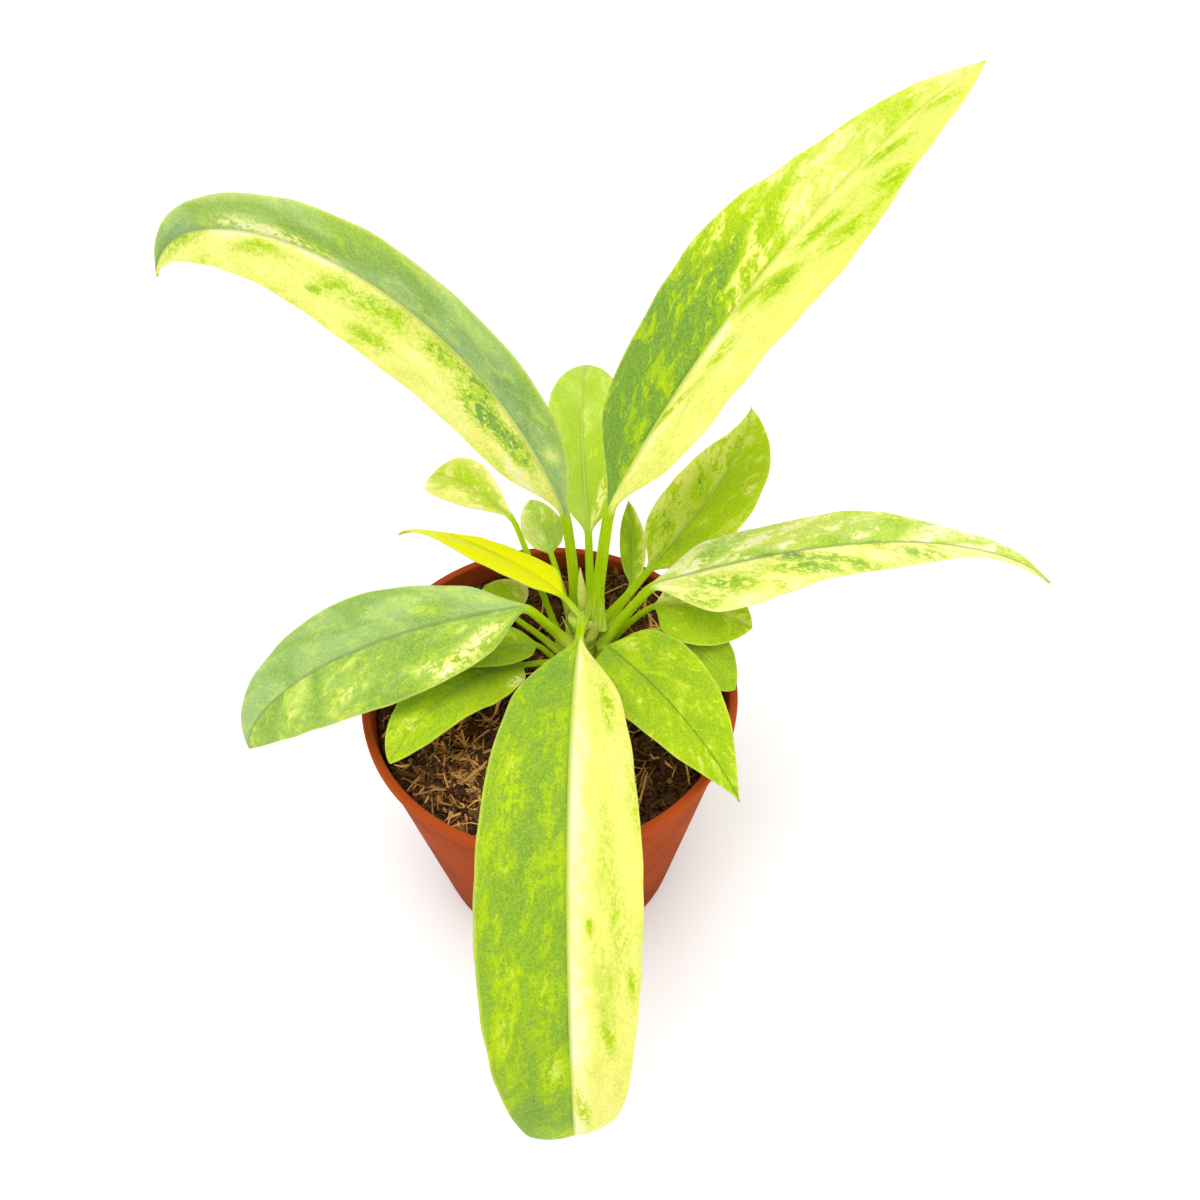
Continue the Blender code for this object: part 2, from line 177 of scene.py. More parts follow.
LEAVES = (
    Leaf("leaf_front", -90, 121, -93.5, 35, 142, stalk=15, blade=195, width=45, out=4, late=1, sweep=10,
         roll=5, fold=8, hook=60, skew=0.1, wave=1.2, waves=3, stalk_radius=1.9, slot="variegated_leaf",
         left=(0.74, 0.2), right=(0.22, 0.1), marble=(-0.1, 0.1), core=(0.2, 0.0), lean=7,
         patches=((0.72, 0.29, 17, 6, 0.2), (0.7, 0.39, 6, 4, 0.16), (0.72, 0.53, 10, 6, 0.16),
                  (0.8, 0.61, 12, 5, 0.18), (0.3, 0.57, 18, 6, 0.14), (0.28, 0.69, 15, 6, 0.18),
                  (0.4, 0.86, 14, 8, 0.14), (0.7, 0.8, 25, 9, -0.1), (-0.6, 0.15, 14, 3, -0.26),
                  (-0.5, 0.38, 22, 4, -0.1), (-0.6, 0.48, 14, 4, -0.16), (-0.5, 0.62, 14, 3, -0.26),
                  (-0.25, 0.47, 5, 2, -0.26), (-0.78, 0.56, 8, 2, -0.24),
                  (-0.15, 0.77, 16, 3, -0.3), (-0.4, 0.9, 16, 6, -0.16), (-0.85, 0.3, 20, 3, -0.14))),
    Leaf("leaf_tall_right", 0, 119.5, 60, 80, 49, stalk=40, blade=163, width=49, outline=LANCE, out=4,
         bend=18, turn=-24, roll=8, skew=-0.05, shift=0.2, wave=1.2, waves=2.5, stalk_radius=2.5,
         slot="variegated_leaf", left=(0.12, 0.1), right=(0.77, 0.2), marble=(0.16, -0.12),
         fade=(0.48, -0.1), core=(0.05, 0.08), rib=0.9, lean=18,
         patches=((-0.15, 0.47, 34, 5, 0.24), (-0.42, 0.45, 18, 4, -0.24), (-0.6, 0.62, 20, 5, -0.22),
                  (-0.35, 0.56, 11, 4, -0.22), (-0.2, 0.82, 20, 3, -0.1),
                  (0.3, 0.35, 10, 4, -0.22), (0.12, 0.45, 14, 3, -0.26), (0.36, 0.49, 10, 5, -0.3),
                  (0.3, 0.59, 13, 4, -0.26), (0.68, 0.6, 9, 4, -0.26), (0.3, 0.76, 11, 3, -0.3),
                  (0.8, 0.72, 9, 4, -0.24), (0.06, 0.2, 20, 2, -0.35), (0.35, 0.88, 11, 3, -0.16))),
    Leaf("leaf_tall_left", 106, 112.5, 124, 86, 135, stalk=40, blade=178, width=33, outline=LANCE,
         late=1.7, sweep=-8, bend=5, turn=38, roll=72, fold=27, curl=20, hook=15, skew=-0.06, wave=0.8,
         waves=2.5, stalk_radius=2.3, slot="variegated_leaf", left=(0.75, 0.24), right=(0.15, 0.07),
         marble=(-0.1, 0.1), edge=(0.0, 0.16), fade=(0.0, 0.06), rib=0.8, painted_sheen=(0.06, 0.22), lean=4,
         # Painted sheen: the first three patches, pale beside the midrib from 0.6 to 0.76 of the blade, stand for
         # light reflected there
         patches=((0.08, 0.6, 16, 4, 0.32), (0.12, 0.68, 18, 5, 0.42), (0.14, 0.76, 16, 6, 0.36),
                  (0.55, 0.56, 11, 4, 0.12), (0.4, 0.84, 24, 8, -0.12), (0.45, 0.13, 5, 4, 0.3),
                  (-0.35, 0.54, 13, 5, -0.24), (-0.25, 0.47, 11, 4, -0.24), (-0.6, 0.585, 4, 2, -0.34),
                  (-0.75, 0.47, 12, 3, -0.26), (-0.2, 0.36, 10, 3.5, -0.4), (-0.12, 0.29, 10, 3, -0.42),
                  (-0.4, 0.25, 15, 5, -0.6), (-0.33, 0.17, 13, 4, -0.56), (-0.2, 0.88, 20, 4, -0.24),
                  (-0.25, 0.7, 16, 4, -0.2), (-0.85, 0.1, 18, 3, 0.25))),
    Leaf("leaf_yellow", 180, 121, 140, 36, 50, stalk=6, blade=75, width=17.5, outline=SPEAR, out=2,
         bend=26, turn=5, skew=-0.4, shift=-0.55, roll=-18, twist=-10, fold=25, curl=30, hook=10,
         stalk_radius=1.5, slot="yellow_leaf", left=(0.7, 0.08), right=(0.8, 0.06), marble=(-0.08, 0.0),
         patches=((-0.3, 0.45, 20, 3, -0.26),), yellow=1.0),
    Leaf("leaf_low_right", -15, 111, 5, 60, 55, stalk=27, blade=132, width=29, outline=SPEAR, late=2.5,
         sweep=-12, bend=45, turn=5, fold=15, curl=30, hook=5, skew=-0.1, shift=-0.4, wave=1.2, waves=2.5,
         stalk_radius=2.2, slot="variegated_leaf", left=(0.58, 0.18), right=(0.88, 0.15), marble=(0.24, -0.26),
         rib=0.2, painted_sheen=(0.2, 0.1),
         patches=((-0.5, 0.15, 18, 5, -0.3), (-0.6, 0.3, 20, 3, 0.36), (-0.5, 0.5, 18, 4, -0.14),
                  (-0.5, 0.68, 26, 3, 0.28), (0.5, 0.17, 16, 6, -0.46), (0.9, 0.1, 12, 4, -0.4),
                  (0.5, 0.34, 20, 5, -0.4), (0.7, 0.47, 16, 4, -0.3), (0.12, 0.33, 26, 3, -0.46),
                  (0.2, 0.55, 26, 3, -0.3), (0.5, 0.66, 18, 4, -0.2))),
    Leaf("leaf_low_left", 235, 113, 195, 61, 84, stalk=25, blade=104, width=37, late=2.5, bend=50,
         turn=5, roll=5, twist=25, fold=5, curl=35, hook=10, wave=0.8, stalk_radius=2.2,
         left=(0.26, 0.14), right=(0.2, 0.07), marble=(0.16, 0.08), rib=0.1, painted_sheen=(0.12, 0.2),
         patches=((0.5, 0.12, 10, 4, 0.15), (0.85, 0.2, 12, 3, 0.15), (0.6, 0.3, 10, 4, 0.26),
                  (0.3, 0.28, 8, 3, 0.22), (-0.2, 0.22, 8, 4, 0.15), (-0.6, 0.31, 10, 4, 0.2),
                  (-0.55, 0.55, 16, 4, 0.15), (-0.5, 0.77, 9, 4, 0.12), (-0.55, 0.13, 12, 4, 0.4),
                  (-0.8, 0.24, 18, 5, 0.45))),
    Leaf("leaf_back_centre", 70, 111, 94, 55, 68, stalk=26, blade=79, width=28, sweep=-15, bend=15,
         turn=5, roll=-5, skew=0.15, wave=0.8, stalk_radius=1.8, left=(0.4, 0.07), right=(0.43, 0.07),
         marble=(0.05, 0.08), painted_sheen=(0.08, 0.08), patches=((0.5, 0.12, 15, 2.5, 0.4),)),
    Leaf("leaf_back_right", 30, 107, 27, 61, 64, stalk=25, blade=75, width=31, outline=DROP, late=0.8,
         sweep=56, bend=5, roll=5, twist=5, fold=15, skew=0.05, shift=0.1, wave=0.8, stalk_radius=1.7,
         left=(0.6, 0.12), right=(0.46, 0.08), marble=(-0.24, 0.08), edge=(0.14, 0.0),
         patches=((-0.3, 0.45, 11, 4, -0.24), (-0.5, 0.2, 10, 4, -0.2), (0.16, 0.14, 15, 3, -0.22),
                  (0.8, 0.5, 4, 3, 0.25))),
    Leaf("leaf_back_left", 150, 98, 121, 48, 48, stalk=45, blade=48, width=19, outline=SPOON, late=2.5,
         sweep=-5, bend=40, turn=15, roll=15, left=(0.55, 0.08), right=(0.53, 0.08), edge=(0.24, 0.24)),
    Leaf("leaf_back_left_low", 115, 103, 110, 40, 40, stalk=26, blade=22, width=14, left=(0.46, 0.08),
         right=(0.34, 0.06), edge=(0.34, 0.0), fade=(0.0, 0.15), painted_sheen=(0.16, 0.16)),
    Leaf("leaf_back_narrow", 65, 103, 42, 22, 30, stalk=19, blade=37, width=9, outline=LANCE, sweep=8,
         turn=45, left=(0.3, 0.08), right=(0.36, 0.12), edge=(0.0, 0.45)),
    Leaf("leaf_front_right", -45, 105, -60, 74, 68, stalk=9, blade=69, width=32, outline=DROP, sweep=5,
         bend=50, turn=5, roll=-7, twist=5, fold=25, curl=15, hook=5, wave=0.8, stalk_radius=1.8,
         left=(0.28, 0.09), right=(0.27, 0.09), marble=(0.12, 0.12), fade=(0.1, 0.1), rib=0.15,
         patches=((-0.5, 0.16, 11, 4, 0.16), (-0.6, 0.31, 9, 4, 0.14), (0.4, 0.27, 11, 4, 0.14),
                  (0.5, 0.4, 8, 3, 0.18))),
    Leaf("leaf_right_round", -20, 99, -12, 61, 80, stalk=28, blade=30, width=20, sweep=-5, bend=30,
         turn=-20, twist=-5, fold=15, left=(0.38, 0.2), right=(0.38, 0.2), marble=(-0.24, -0.24)),
    Leaf("leaf_right_small", 8, 102, 2, 61, 58, stalk=25, blade=32, width=27, sweep=-5, bend=26,
         turn=-15, roll=-5, twist=-5, fold=15, left=(0.44, 0.08), right=(0.4, 0.06),
         patches=((-0.5, 0.16, 9, 5, 0.42), (-0.9, 0.4, 16, 3, 0.4))),
    Leaf("leaf_front_left", 225, 102, -159, 23, 45, stalk=15, blade=60, width=25, late=1.7, sweep=27,
         bend=-10, turn=15, roll=-5, hook=10, wave=0.8, left=(0.42, 0.1), right=(0.38, 0.1),
         marble=(-0.14, -0.14), patches=((0.2, 0.8, 11, 5, 0.2), (-0.85, 0.18, 9, 3, 0.45))),
    Leaf("leaf_left_small", 180, 100, 155, 36, 40, stalk=18, blade=15, width=20, bend=-10, turn=-20,
         roll=5, left=(0.44, 0.06), right=(0.46, 0.06), edge=(0.0, 0.4)),
    Leaf("leaf_left_under", 205, 96.5, 195, 65, 35, stalk=16, blade=40, width=18, bend=30, turn=10,
         left=(0.32, 0.1), right=(0.36, 0.1), marble=(-0.14, 0.14)),
)


# Settings

def colour_setting(name, description, colour):
    return FloatVectorProperty(
        name=name, description=description, subtype="COLOR", size=3, min=0.0, max=1.0, default=colour
    )


class FoliageSettings(bpy.types.PropertyGroup):
    """Colours and finish of the leaves."""

    deep: colour_setting("Deep green", "The darkest leaf tissue", (0.185, 0.345, 0.045))
    green: colour_setting("Mid green", "Ordinary leaf tissue", (0.31, 0.48, 0.018))
    lime: colour_setting("Lime", "Pale green tissue between the patches", (0.45, 0.62, 0.006))
    pale: colour_setting("Pale yellow-green", "Tissue that is nearly white", (0.66, 0.71, 0.13))
    lemon: colour_setting("Lemon", "Yellow tissue among the cream", (0.8, 0.79, 0.18))
    cream: colour_setting("Cream", "Tissue without green", (0.86, 0.83, 0.33))
    white: colour_setting("Cream-white", "The palest streaks", (0.84, 0.81, 0.56))
    yellow: colour_setting("Yellow", "The one yellow leaf", (0.78, 0.77, 0.0))
    stalk: colour_setting("Stalk", "Stalks and the crown", (0.35, 0.55, 0.004))
    under: colour_setting("Underside", "The duller lower face", (0.38, 0.52, 0.12))
    # Painted sheen: a greyish colour mixed into some blades for the bright surroundings they reflect
    painted_sheen: colour_setting("Bloom", "The greyish bloom on some leaves", (0.7, 0.82, 0.7))
    roughness: FloatProperty(name="Roughness", description="How matt the blades are", default=0.5, min=0.0, max=1.0)
    vein_spacing: FloatProperty(
        name="Vein spacing", description="Millimetres between side veins along the midrib", default=8.0, min=1.0
    )
    station: FloatProperty(
        name="Station", description="Millimetres between sections along a leaf", default=1.6, min=0.5
    )
    columns: IntProperty(name="Columns", description="Columns of points across each face", default=31, min=7)
    thickness: FloatProperty(
        name="Thickness", description="Thickness of a blade beside its midrib, in millimetres", default=0.7, min=0.2
    )


class PotSettings(bpy.types.PropertyGroup):
    """The pot's plastic."""

    plastic: colour_setting("Plastic", "Colour of the moulded plastic", (0.4, 0.068, 0.014))
    roughness: FloatProperty(name="Roughness", description="How matt the plastic is", default=0.5, min=0.0, max=1.0)
    # Painted light: the lip is the same plastic, coloured a little lighter for the light falling on its top and
    # getting through its thin edge
    lip: colour_setting("Lip", "Colour of the lip, where light gets through it", (0.44, 0.075, 0.015))
    scuff: colour_setting("Scuff", "Rubbed places on the plastic", (0.5, 0.14, 0.05))
    steps: IntProperty(name="Steps", description="Steps round the pot", default=160, min=24)


class CompostSettings(bpy.types.PropertyGroup):
    """The compost and what lies in it."""

    # Partly painted shade: the darkest tone is dark peat and also the shadow in the hollows between crumbs
    dark_peat_and_shade: colour_setting("Damp peat", "The darkest compost", (0.006, 0.0035, 0.002))
    brown: colour_setting("Brown peat", "Most of the compost", (0.11, 0.05, 0.02))
    husk: colour_setting("Husk", "Orange-brown husk and fibre", (0.34, 0.15, 0.05))
    straw: colour_setting("Straw", "The palest fibres", (1.0, 0.52, 0.17))
    fibres: IntProperty(name="Fibres", description="Loose coir fibres on the surface", default=430, min=0)
    straws: IntProperty(name="Straws", description="Thick pale straws on the surface", default=210, min=0)
    splinters: IntProperty(name="Splinters", description="Flat splinters of husk on the surface", default=110, min=0)
    chips: IntProperty(name="Chips", description="Chips of husk on the surface", default=420, min=0)
    crumbs: IntProperty(name="Crumbs", description="Crumbs of peat on the surface", default=650, min=0)
    seed: IntProperty(name="Seed", description="Changes how the fibres and chips lie", default=7)


class StageSettings(bpy.types.PropertyGroup):
    """The floor, the lights and the camera."""

    floor: colour_setting("Floor", "Colour of the floor", (1.0, 1.0, 1.0))
    glow: FloatProperty(name="Glow", description="How much the floor is lit from below", default=0.12, min=0.0)
    sky: FloatProperty(name="Sky", description="Strength of the light from all round", default=0.8, min=0.0)
    key: FloatProperty(name="Key", description="Power of the main light, in watts", default=20.0, min=0.0)
    fill: FloatProperty(name="Fill", description="Power of the fill light, in watts", default=1.0, min=0.0)
    lens: FloatProperty(name="Lens", description="Focal length, in millimetres", default=36.0, min=1.0)
    tilt: FloatProperty(
        name="Tilt", description="Camera's angle up from straight down", subtype="ANGLE", default=radians(39.6)
    )
    place: FloatVectorProperty(
        name="Place", description="Where the camera stands", subtype="TRANSLATION", default=(0.016, -0.2235, 0.413)
    )


# Shader expressions

class Wire:
    """An output socket in a material. Arithmetic on it adds Math nodes."""

    def __init__(self, tree, socket=None):
        self.tree = tree
        self.socket = socket

    def node(self, kind, settings=None, inputs=None, output=0):
        """Adds a node: its settings first, then its inputs by name or number."""
        made = self.tree.nodes.new(kind)
        for name, value in (settings or {}).items():
            if name == "stops":
                set_stops(made.color_ramp, value)
            else:
                setattr(made, name, value)
        for name, value in (inputs or {}).items():
            if isinstance(value, Wire):
                self.tree.links.new(value.socket, made.inputs[name])
            else:
                made.inputs[name].default_value = value
        return Wire(self.tree, made.outputs[output] if made.outputs else None)

    def math(self, operation, *values):
        return self.node("ShaderNodeMath", {"operation": operation}, dict(enumerate(values)))

    def __add__(self, other):
        return self.math("ADD", self, other)

    def __sub__(self, other):
        return self.math("SUBTRACT", self, other)

    def __rsub__(self, other):
        return self.math("SUBTRACT", other, self)

    def __mul__(self, other):
        return self.math("MULTIPLY", self, other)

    def __truediv__(self, other):
        return self.math("DIVIDE", self, other)

    def __rtruediv__(self, other):
        return self.math("DIVIDE", other, self)

    def __pow__(self, other):
        return self.math("POWER", self, other)

    def __abs__(self):
        return self.math("ABSOLUTE", self)

    __radd__ = __add__
    __rmul__ = __mul__


def set_stops(ramp, stops):
    while len(ramp.elements) < len(stops):
        ramp.elements.new(0.5)
    for element, (position, colour) in zip(ramp.elements, stops):
        element.position = position
        element.color = (*colour, 1.0)


def start_material(name):
    made = bpy.data.materials.new(name)
    made.use_nodes = True
    made.node_tree.nodes.clear()
    return made, Wire(made.node_tree)


def finish_material(start, colour, roughness, height, depth, constants=None):
    """Joins the expressions to a Principled shader. depth is the bump's height in millimetres."""
    bump = start.node("ShaderNodeBump", {}, {"Strength": 1.0, "Distance": depth * MM, "Height": height})
    inputs = {"Base Color": colour, "Roughness": roughness, "Normal": bump}
    inputs.update(constants or {})
    shader = start.node("ShaderNodeBsdfPrincipled", {}, inputs)
    start.node("ShaderNodeOutputMaterial", {}, {"Surface": shader})


def smooth(value, low, high):
    """0 below low, 1 above high, with a soft step between; low may be above high."""
    settings = {"interpolation_type": "SMOOTHSTEP"}
    return value.node("ShaderNodeMapRange", settings, {"Value": value, "From Min": low, "From Max": high})


def texture(vector, scale, detail=2.0, roughness=0.5, distortion=0.0):
    inputs = {"Vector": vector, "Scale": scale, "Detail": detail, "Roughness": roughness, "Distortion": distortion}
    return vector.node("ShaderNodeTexNoise", {}, inputs)


def blend(factor, first, second, mode="MIX"):
    """Mixes two colours."""
    return factor.node("ShaderNodeMix", {"data_type": "RGBA", "blend_type": mode}, {0: factor, 6: first, 7: second}, 2)


def rgba(colour):
    return (*colour, 1.0)


def components(vector):
    parts = vector.node("ShaderNodeSeparateXYZ", {}, {0: vector})
    outputs = parts.socket.node.outputs
    return [Wire(vector.tree, output) for output in outputs]


def combine(x, y, z):
    known = next(value for value in (x, y, z) if isinstance(value, Wire))
    return known.node("ShaderNodeCombineXYZ", {}, {0: x, 1: y, 2: z})


def attribute(start, name):
    return start.node("ShaderNodeAttribute", {"attribute_name": name}, {}, "Vector")


def object_place(start):
    """The place on the object in millimetres."""
    place = start.node("ShaderNodeTexCoord", {}, {}, "Object")
    return start.node("ShaderNodeVectorMath", {"operation": "SCALE"}, {0: place, "Scale": 1 / MM})


# Mesh helpers

def circle(radius, height, sides, centre=(0.0, 0.0)):
    angles = np.arange(sides) * 2 * pi / sides
    x = centre[0] + radius * np.cos(angles)
    y = centre[1] + radius * np.sin(angles)
    return np.stack([x, y, np.full(sides, height)], axis=-1)


def place(ring, points):
    for vert, point in zip(ring, points):
        vert.co = point * MM


def loft(bm, stations):
    """Adds a closed surface through rings of equal count, both ends filled, and returns its rings."""
    made = bmesh.ops.create_circle(bm, segments=len(stations[0]), radius=1.0)
    ring = made["verts"]
    place(ring, stations[0])
    rings = [ring]
    edges = list({edge for vert in ring for edge in vert.link_edges})
    bmesh.ops.contextual_create(bm, geom=edges)
    for points in stations[1:]:
        grown = bmesh.ops.extrude_edge_only(bm, edges=edges)["geom"]
        fresh = {item for item in grown if isinstance(item, bmesh.types.BMVert)}
        ring = [next(e.other_vert(v) for e in v.link_edges if e.other_vert(v) in fresh) for v in ring]
        place(ring, points)
        rings.append(ring)
        edges = [item for item in grown if isinstance(item, bmesh.types.BMEdge)]
        edges = [edge for edge in edges if edge.verts[0] in fresh and edge.verts[1] in fresh]
    bmesh.ops.contextual_create(bm, geom=edges)
    return rings


def finish_piece(name, bm, finish, stands_for=(), sharp_angle=50.0):
    bmesh.ops.recalc_face_normals(bm, faces=bm.faces)
    mesh = bpy.data.meshes.new(name)
    bm.to_mesh(mesh)
    bm.free()
    mesh.materials.append(finish)
    mesh.shade_smooth()
    mesh.set_sharp_from_angle(angle=radians(sharp_angle))
    piece = bpy.data.objects.new(name, mesh)
    bpy.context.scene.collection.objects.link(piece)
    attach(piece, "root")
    if stands_for:
        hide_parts(*stands_for)
    return piece


def direction(rise, heading):
    """Unit vectors that climb at the angle rise and point along the compass angle heading."""
    level = np.cos(rise)
    return np.stack([level * np.cos(heading), level * np.sin(heading), np.sin(rise)], axis=-1)


# Leaves

def seat(leaf):
    around = radians(leaf.around)
    return np.array([
        STEM_CENTRE[0] + leaf.out * cos(around),
        STEM_CENTRE[1] + leaf.out * sin(around),
        leaf.height,
    ])


def half_width(leaf, along):
    """Half the blade's width, from 0 at the stalk, through its widest place, to 0 at the tip."""
    base, tip = leaf.outline
    widest = base / (base + tip)
    peak = widest**base * (1 - widest) ** tip
    return leaf.width / 2 * along**base * (1 - along) ** tip / peak


def spine(leaf):
    """Points and axes along the leaf, from its root in the stem: to its right, and up out of its face."""
    total = leaf.stalk + leaf.blade
    run = np.linspace(-ROOT_LENGTH, total, SPINE_POINTS)
    share = np.clip(run / total, 0.0, 1.0)
    joint = np.clip((run - leaf.stalk) / JOINT_LENGTH + 0.5, 0.0, 1.0)
    joint = joint * joint * (3 - 2 * joint)
    along = np.clip((run - leaf.stalk) / leaf.blade, 0.0, 1.0)
    hook = (np.clip(along - HOOK_START, 0.0, 1.0) / (1 - HOOK_START)) ** 1.5
    rise = np.radians(leaf.rise - leaf.droop * share**leaf.late - leaf.bend * joint - leaf.hook * hook)
    heading = np.radians(leaf.heading + leaf.sweep * share**SWEEP_POWER + leaf.turn * joint)
    forward = direction(rise, heading)
    steps = (forward[1:] + forward[:-1]) / 2 * (run[1] - run[0])
    path = np.vstack([np.zeros(3), np.cumsum(steps, axis=0)])
    root = np.array([np.interp(0.0, run, path[:, axis]) for axis in range(3)])
    level = np.stack([np.sin(heading), -np.cos(heading), np.zeros_like(heading)], axis=-1)
    upright = np.cross(level, forward)
    roll = np.radians(leaf.roll + leaf.twist * along)[:, None]
    right = level * np.cos(roll) + upright * np.sin(roll)
    up = upright * np.cos(roll) - level * np.sin(roll)
    return run, seat(leaf) + path - root, right, up


def uneven(leaf, along, side):
    """How far the margin strays from its even outline, in millimetres."""
    strength = min(1.0, leaf.width / 30) * (4 * along * (1 - along)) ** 0.5
    return strength * 0.4 * noise.noise(Vector((along * leaf.blade / 9, side * 5, leaf.heading)))


def stalk_ring(leaf, distance, columns, point, right, up):
    """A nearly round stalk, broader where it clasps the stem, and slightly channelled above."""
    share = max(0.0, distance / leaf.stalk)
    clasp = max(0.0, 1 - (distance + ROOT_LENGTH) / CLASP_LENGTH) ** 1.5 * min(1.0, (leaf.stalk / 30) ** 2)
    radius = STALK_SLIMNESS * leaf.stalk_radius * (1 + 0.3 * clasp) * (1 - STALK_TAPER * share)
    broad = radius * (1 + 0.9 * clasp)
    upper = np.radians(90 - 80 * columns)
    lower = np.radians(-90 - 80 * columns)
    angles = np.concatenate([upper, lower])
    depth = CHANNEL * (0.4 + 0.6 * share)
    channel = np.concatenate([1 - depth * (1 - columns**2) ** 2, np.ones_like(columns)])
    spots = point + np.outer(broad * np.cos(angles), right) + np.outer(radius * channel * np.sin(angles), up)
    lateral = radius * np.cos(angles)
    return spots, lateral, lateral / leaf.width * 0.1


def blade_ring(leaf, along, columns, thickness, point, right, up):
    """The blade's section: a thin folded plate with a low ridge above and a round keel below its midrib."""
    rib = leaf.stalk_radius * (1 - STALK_TAPER) * (1 - along) ** RIB_TAPER + RIB_TIP_RADIUS
    half = max(half_width(leaf, along), 0.3 + 1.05 * rib * (1 - along))
    face = np.concatenate([np.ones_like(columns), -np.ones_like(columns)])
    column = np.concatenate([columns, -columns])
    side = np.sign(column)
    reach = half * (1 + side * (leaf.skew + leaf.shift * (2 * along - 1)))
    reach = reach + np.where(side > 0, uneven(leaf, along, 1.0), uneven(leaf, along, -1.0))
    inner = np.minimum(rib, 0.45 * reach)
    near = np.abs(column) <= RIB_COLUMNS
    beyond = inner + (reach - inner) * (np.abs(column) - RIB_COLUMNS) / (1 - RIB_COLUMNS)
    lateral = np.where(near, inner * np.abs(column) / RIB_COLUMNS, beyond)
    share = lateral / reach
    steps = (np.arange(ARC_STEPS) + 0.5) / ARC_STEPS * share[:, None]
    slopes = np.radians(leaf.fold - leaf.curl * steps)
    out = np.cos(slopes).mean(axis=1) * share * reach
    lift = np.sin(slopes).mean(axis=1) * share * reach
    slope = np.radians(leaf.fold - leaf.curl * share)
    envelope = (4 * along * (1 - along)) ** 0.5
    phase = np.where(side > 0, WAVE_SHIFT, 0.0)
    ripple = leaf.wave * envelope * share**2 * np.sin(2 * pi * leaf.waves * along + phase)
    fine = 0.012 * half * envelope * share**3 * np.sin(2 * pi * leaf.waves * 3.7 * along + 2 * phase + leaf.blade)
    half_thick = thickness / 2 * (1 - 0.6 * share**4)
    bulge = np.where(near, 1 - (column / RIB_COLUMNS) ** 2, 0.0)
    keel = rib * np.sqrt(bulge) * (face < 0)
    ridge = RIDGE * (1 - along) * bulge * (face > 0)
    height = lift + ripple + fine + face * half_thick * np.cos(slope) - keel + ridge
    sideways = side * (out - face * half_thick * np.sin(slope))
    spots = point + np.outer(sideways, right) + np.outer(height, up)
    return spots, side * lateral, side * share


def build_leaf(leaf, settings):
    run, points, right, up = spine(leaf)
    columns = np.linspace(-1.0, 1.0, settings.columns)
    stalk_steps = ceil((leaf.stalk + ROOT_LENGTH) / settings.station)
    blade_steps = max(24, ceil(leaf.blade / settings.station))
    even = np.linspace(0.0, 1.0, blade_steps + 1)[1:]
    blade_shares = 0.55 * even + 0.45 * (1 - np.cos(pi * even)) / 2

    def frame_at(distance):
        sources = (points, right, up)
        return [np.array([np.interp(distance, run, values[:, axis]) for axis in range(3)]) for values in sources]

    stations, marks = [], []
    for distance in np.linspace(-ROOT_LENGTH, leaf.stalk, stalk_steps + 1):
        spots, lateral, share = stalk_ring(leaf, distance, columns, *frame_at(distance))
        stations.append(spots)
        marks.append((lateral, distance - leaf.stalk, share, 0.0))
    for along in blade_shares:
        distance = leaf.stalk + along * leaf.blade
        place_there = frame_at(distance)
        spots, lateral, share = blade_ring(leaf, along, columns, settings.thickness, *place_there)
        wing = min(1.0, along / WING_SHARE)
        if wing < 1:
            stem_end, _, _ = stalk_ring(leaf, leaf.stalk, columns, *place_there)
            spots = stem_end + (spots - stem_end) * (wing * wing * (3 - 2 * wing)) ** 0.5
        stations.append(spots)
        marks.append((lateral, along * leaf.blade, share, along))
    bm = bmesh.new()
    spot_layer = bm.verts.layers.float_vector.new("spot")
    share_layer = bm.verts.layers.float_vector.new("share")
    rings = loft(bm, stations)
    upper = settings.columns
    for ring, (lateral, distance, share, along) in zip(rings, marks):
        for index, vert in enumerate(ring):
            vert[spot_layer] = (lateral[index], distance, 0.0)
            vert[share_layer] = (share[index], along, 0.0 if index < upper else 1.0)
    name = leaf.name.replace("leaf_", "foliage_")
    finish_piece(name, bm, leaf_material(leaf, settings), (leaf.name,), 60.0)


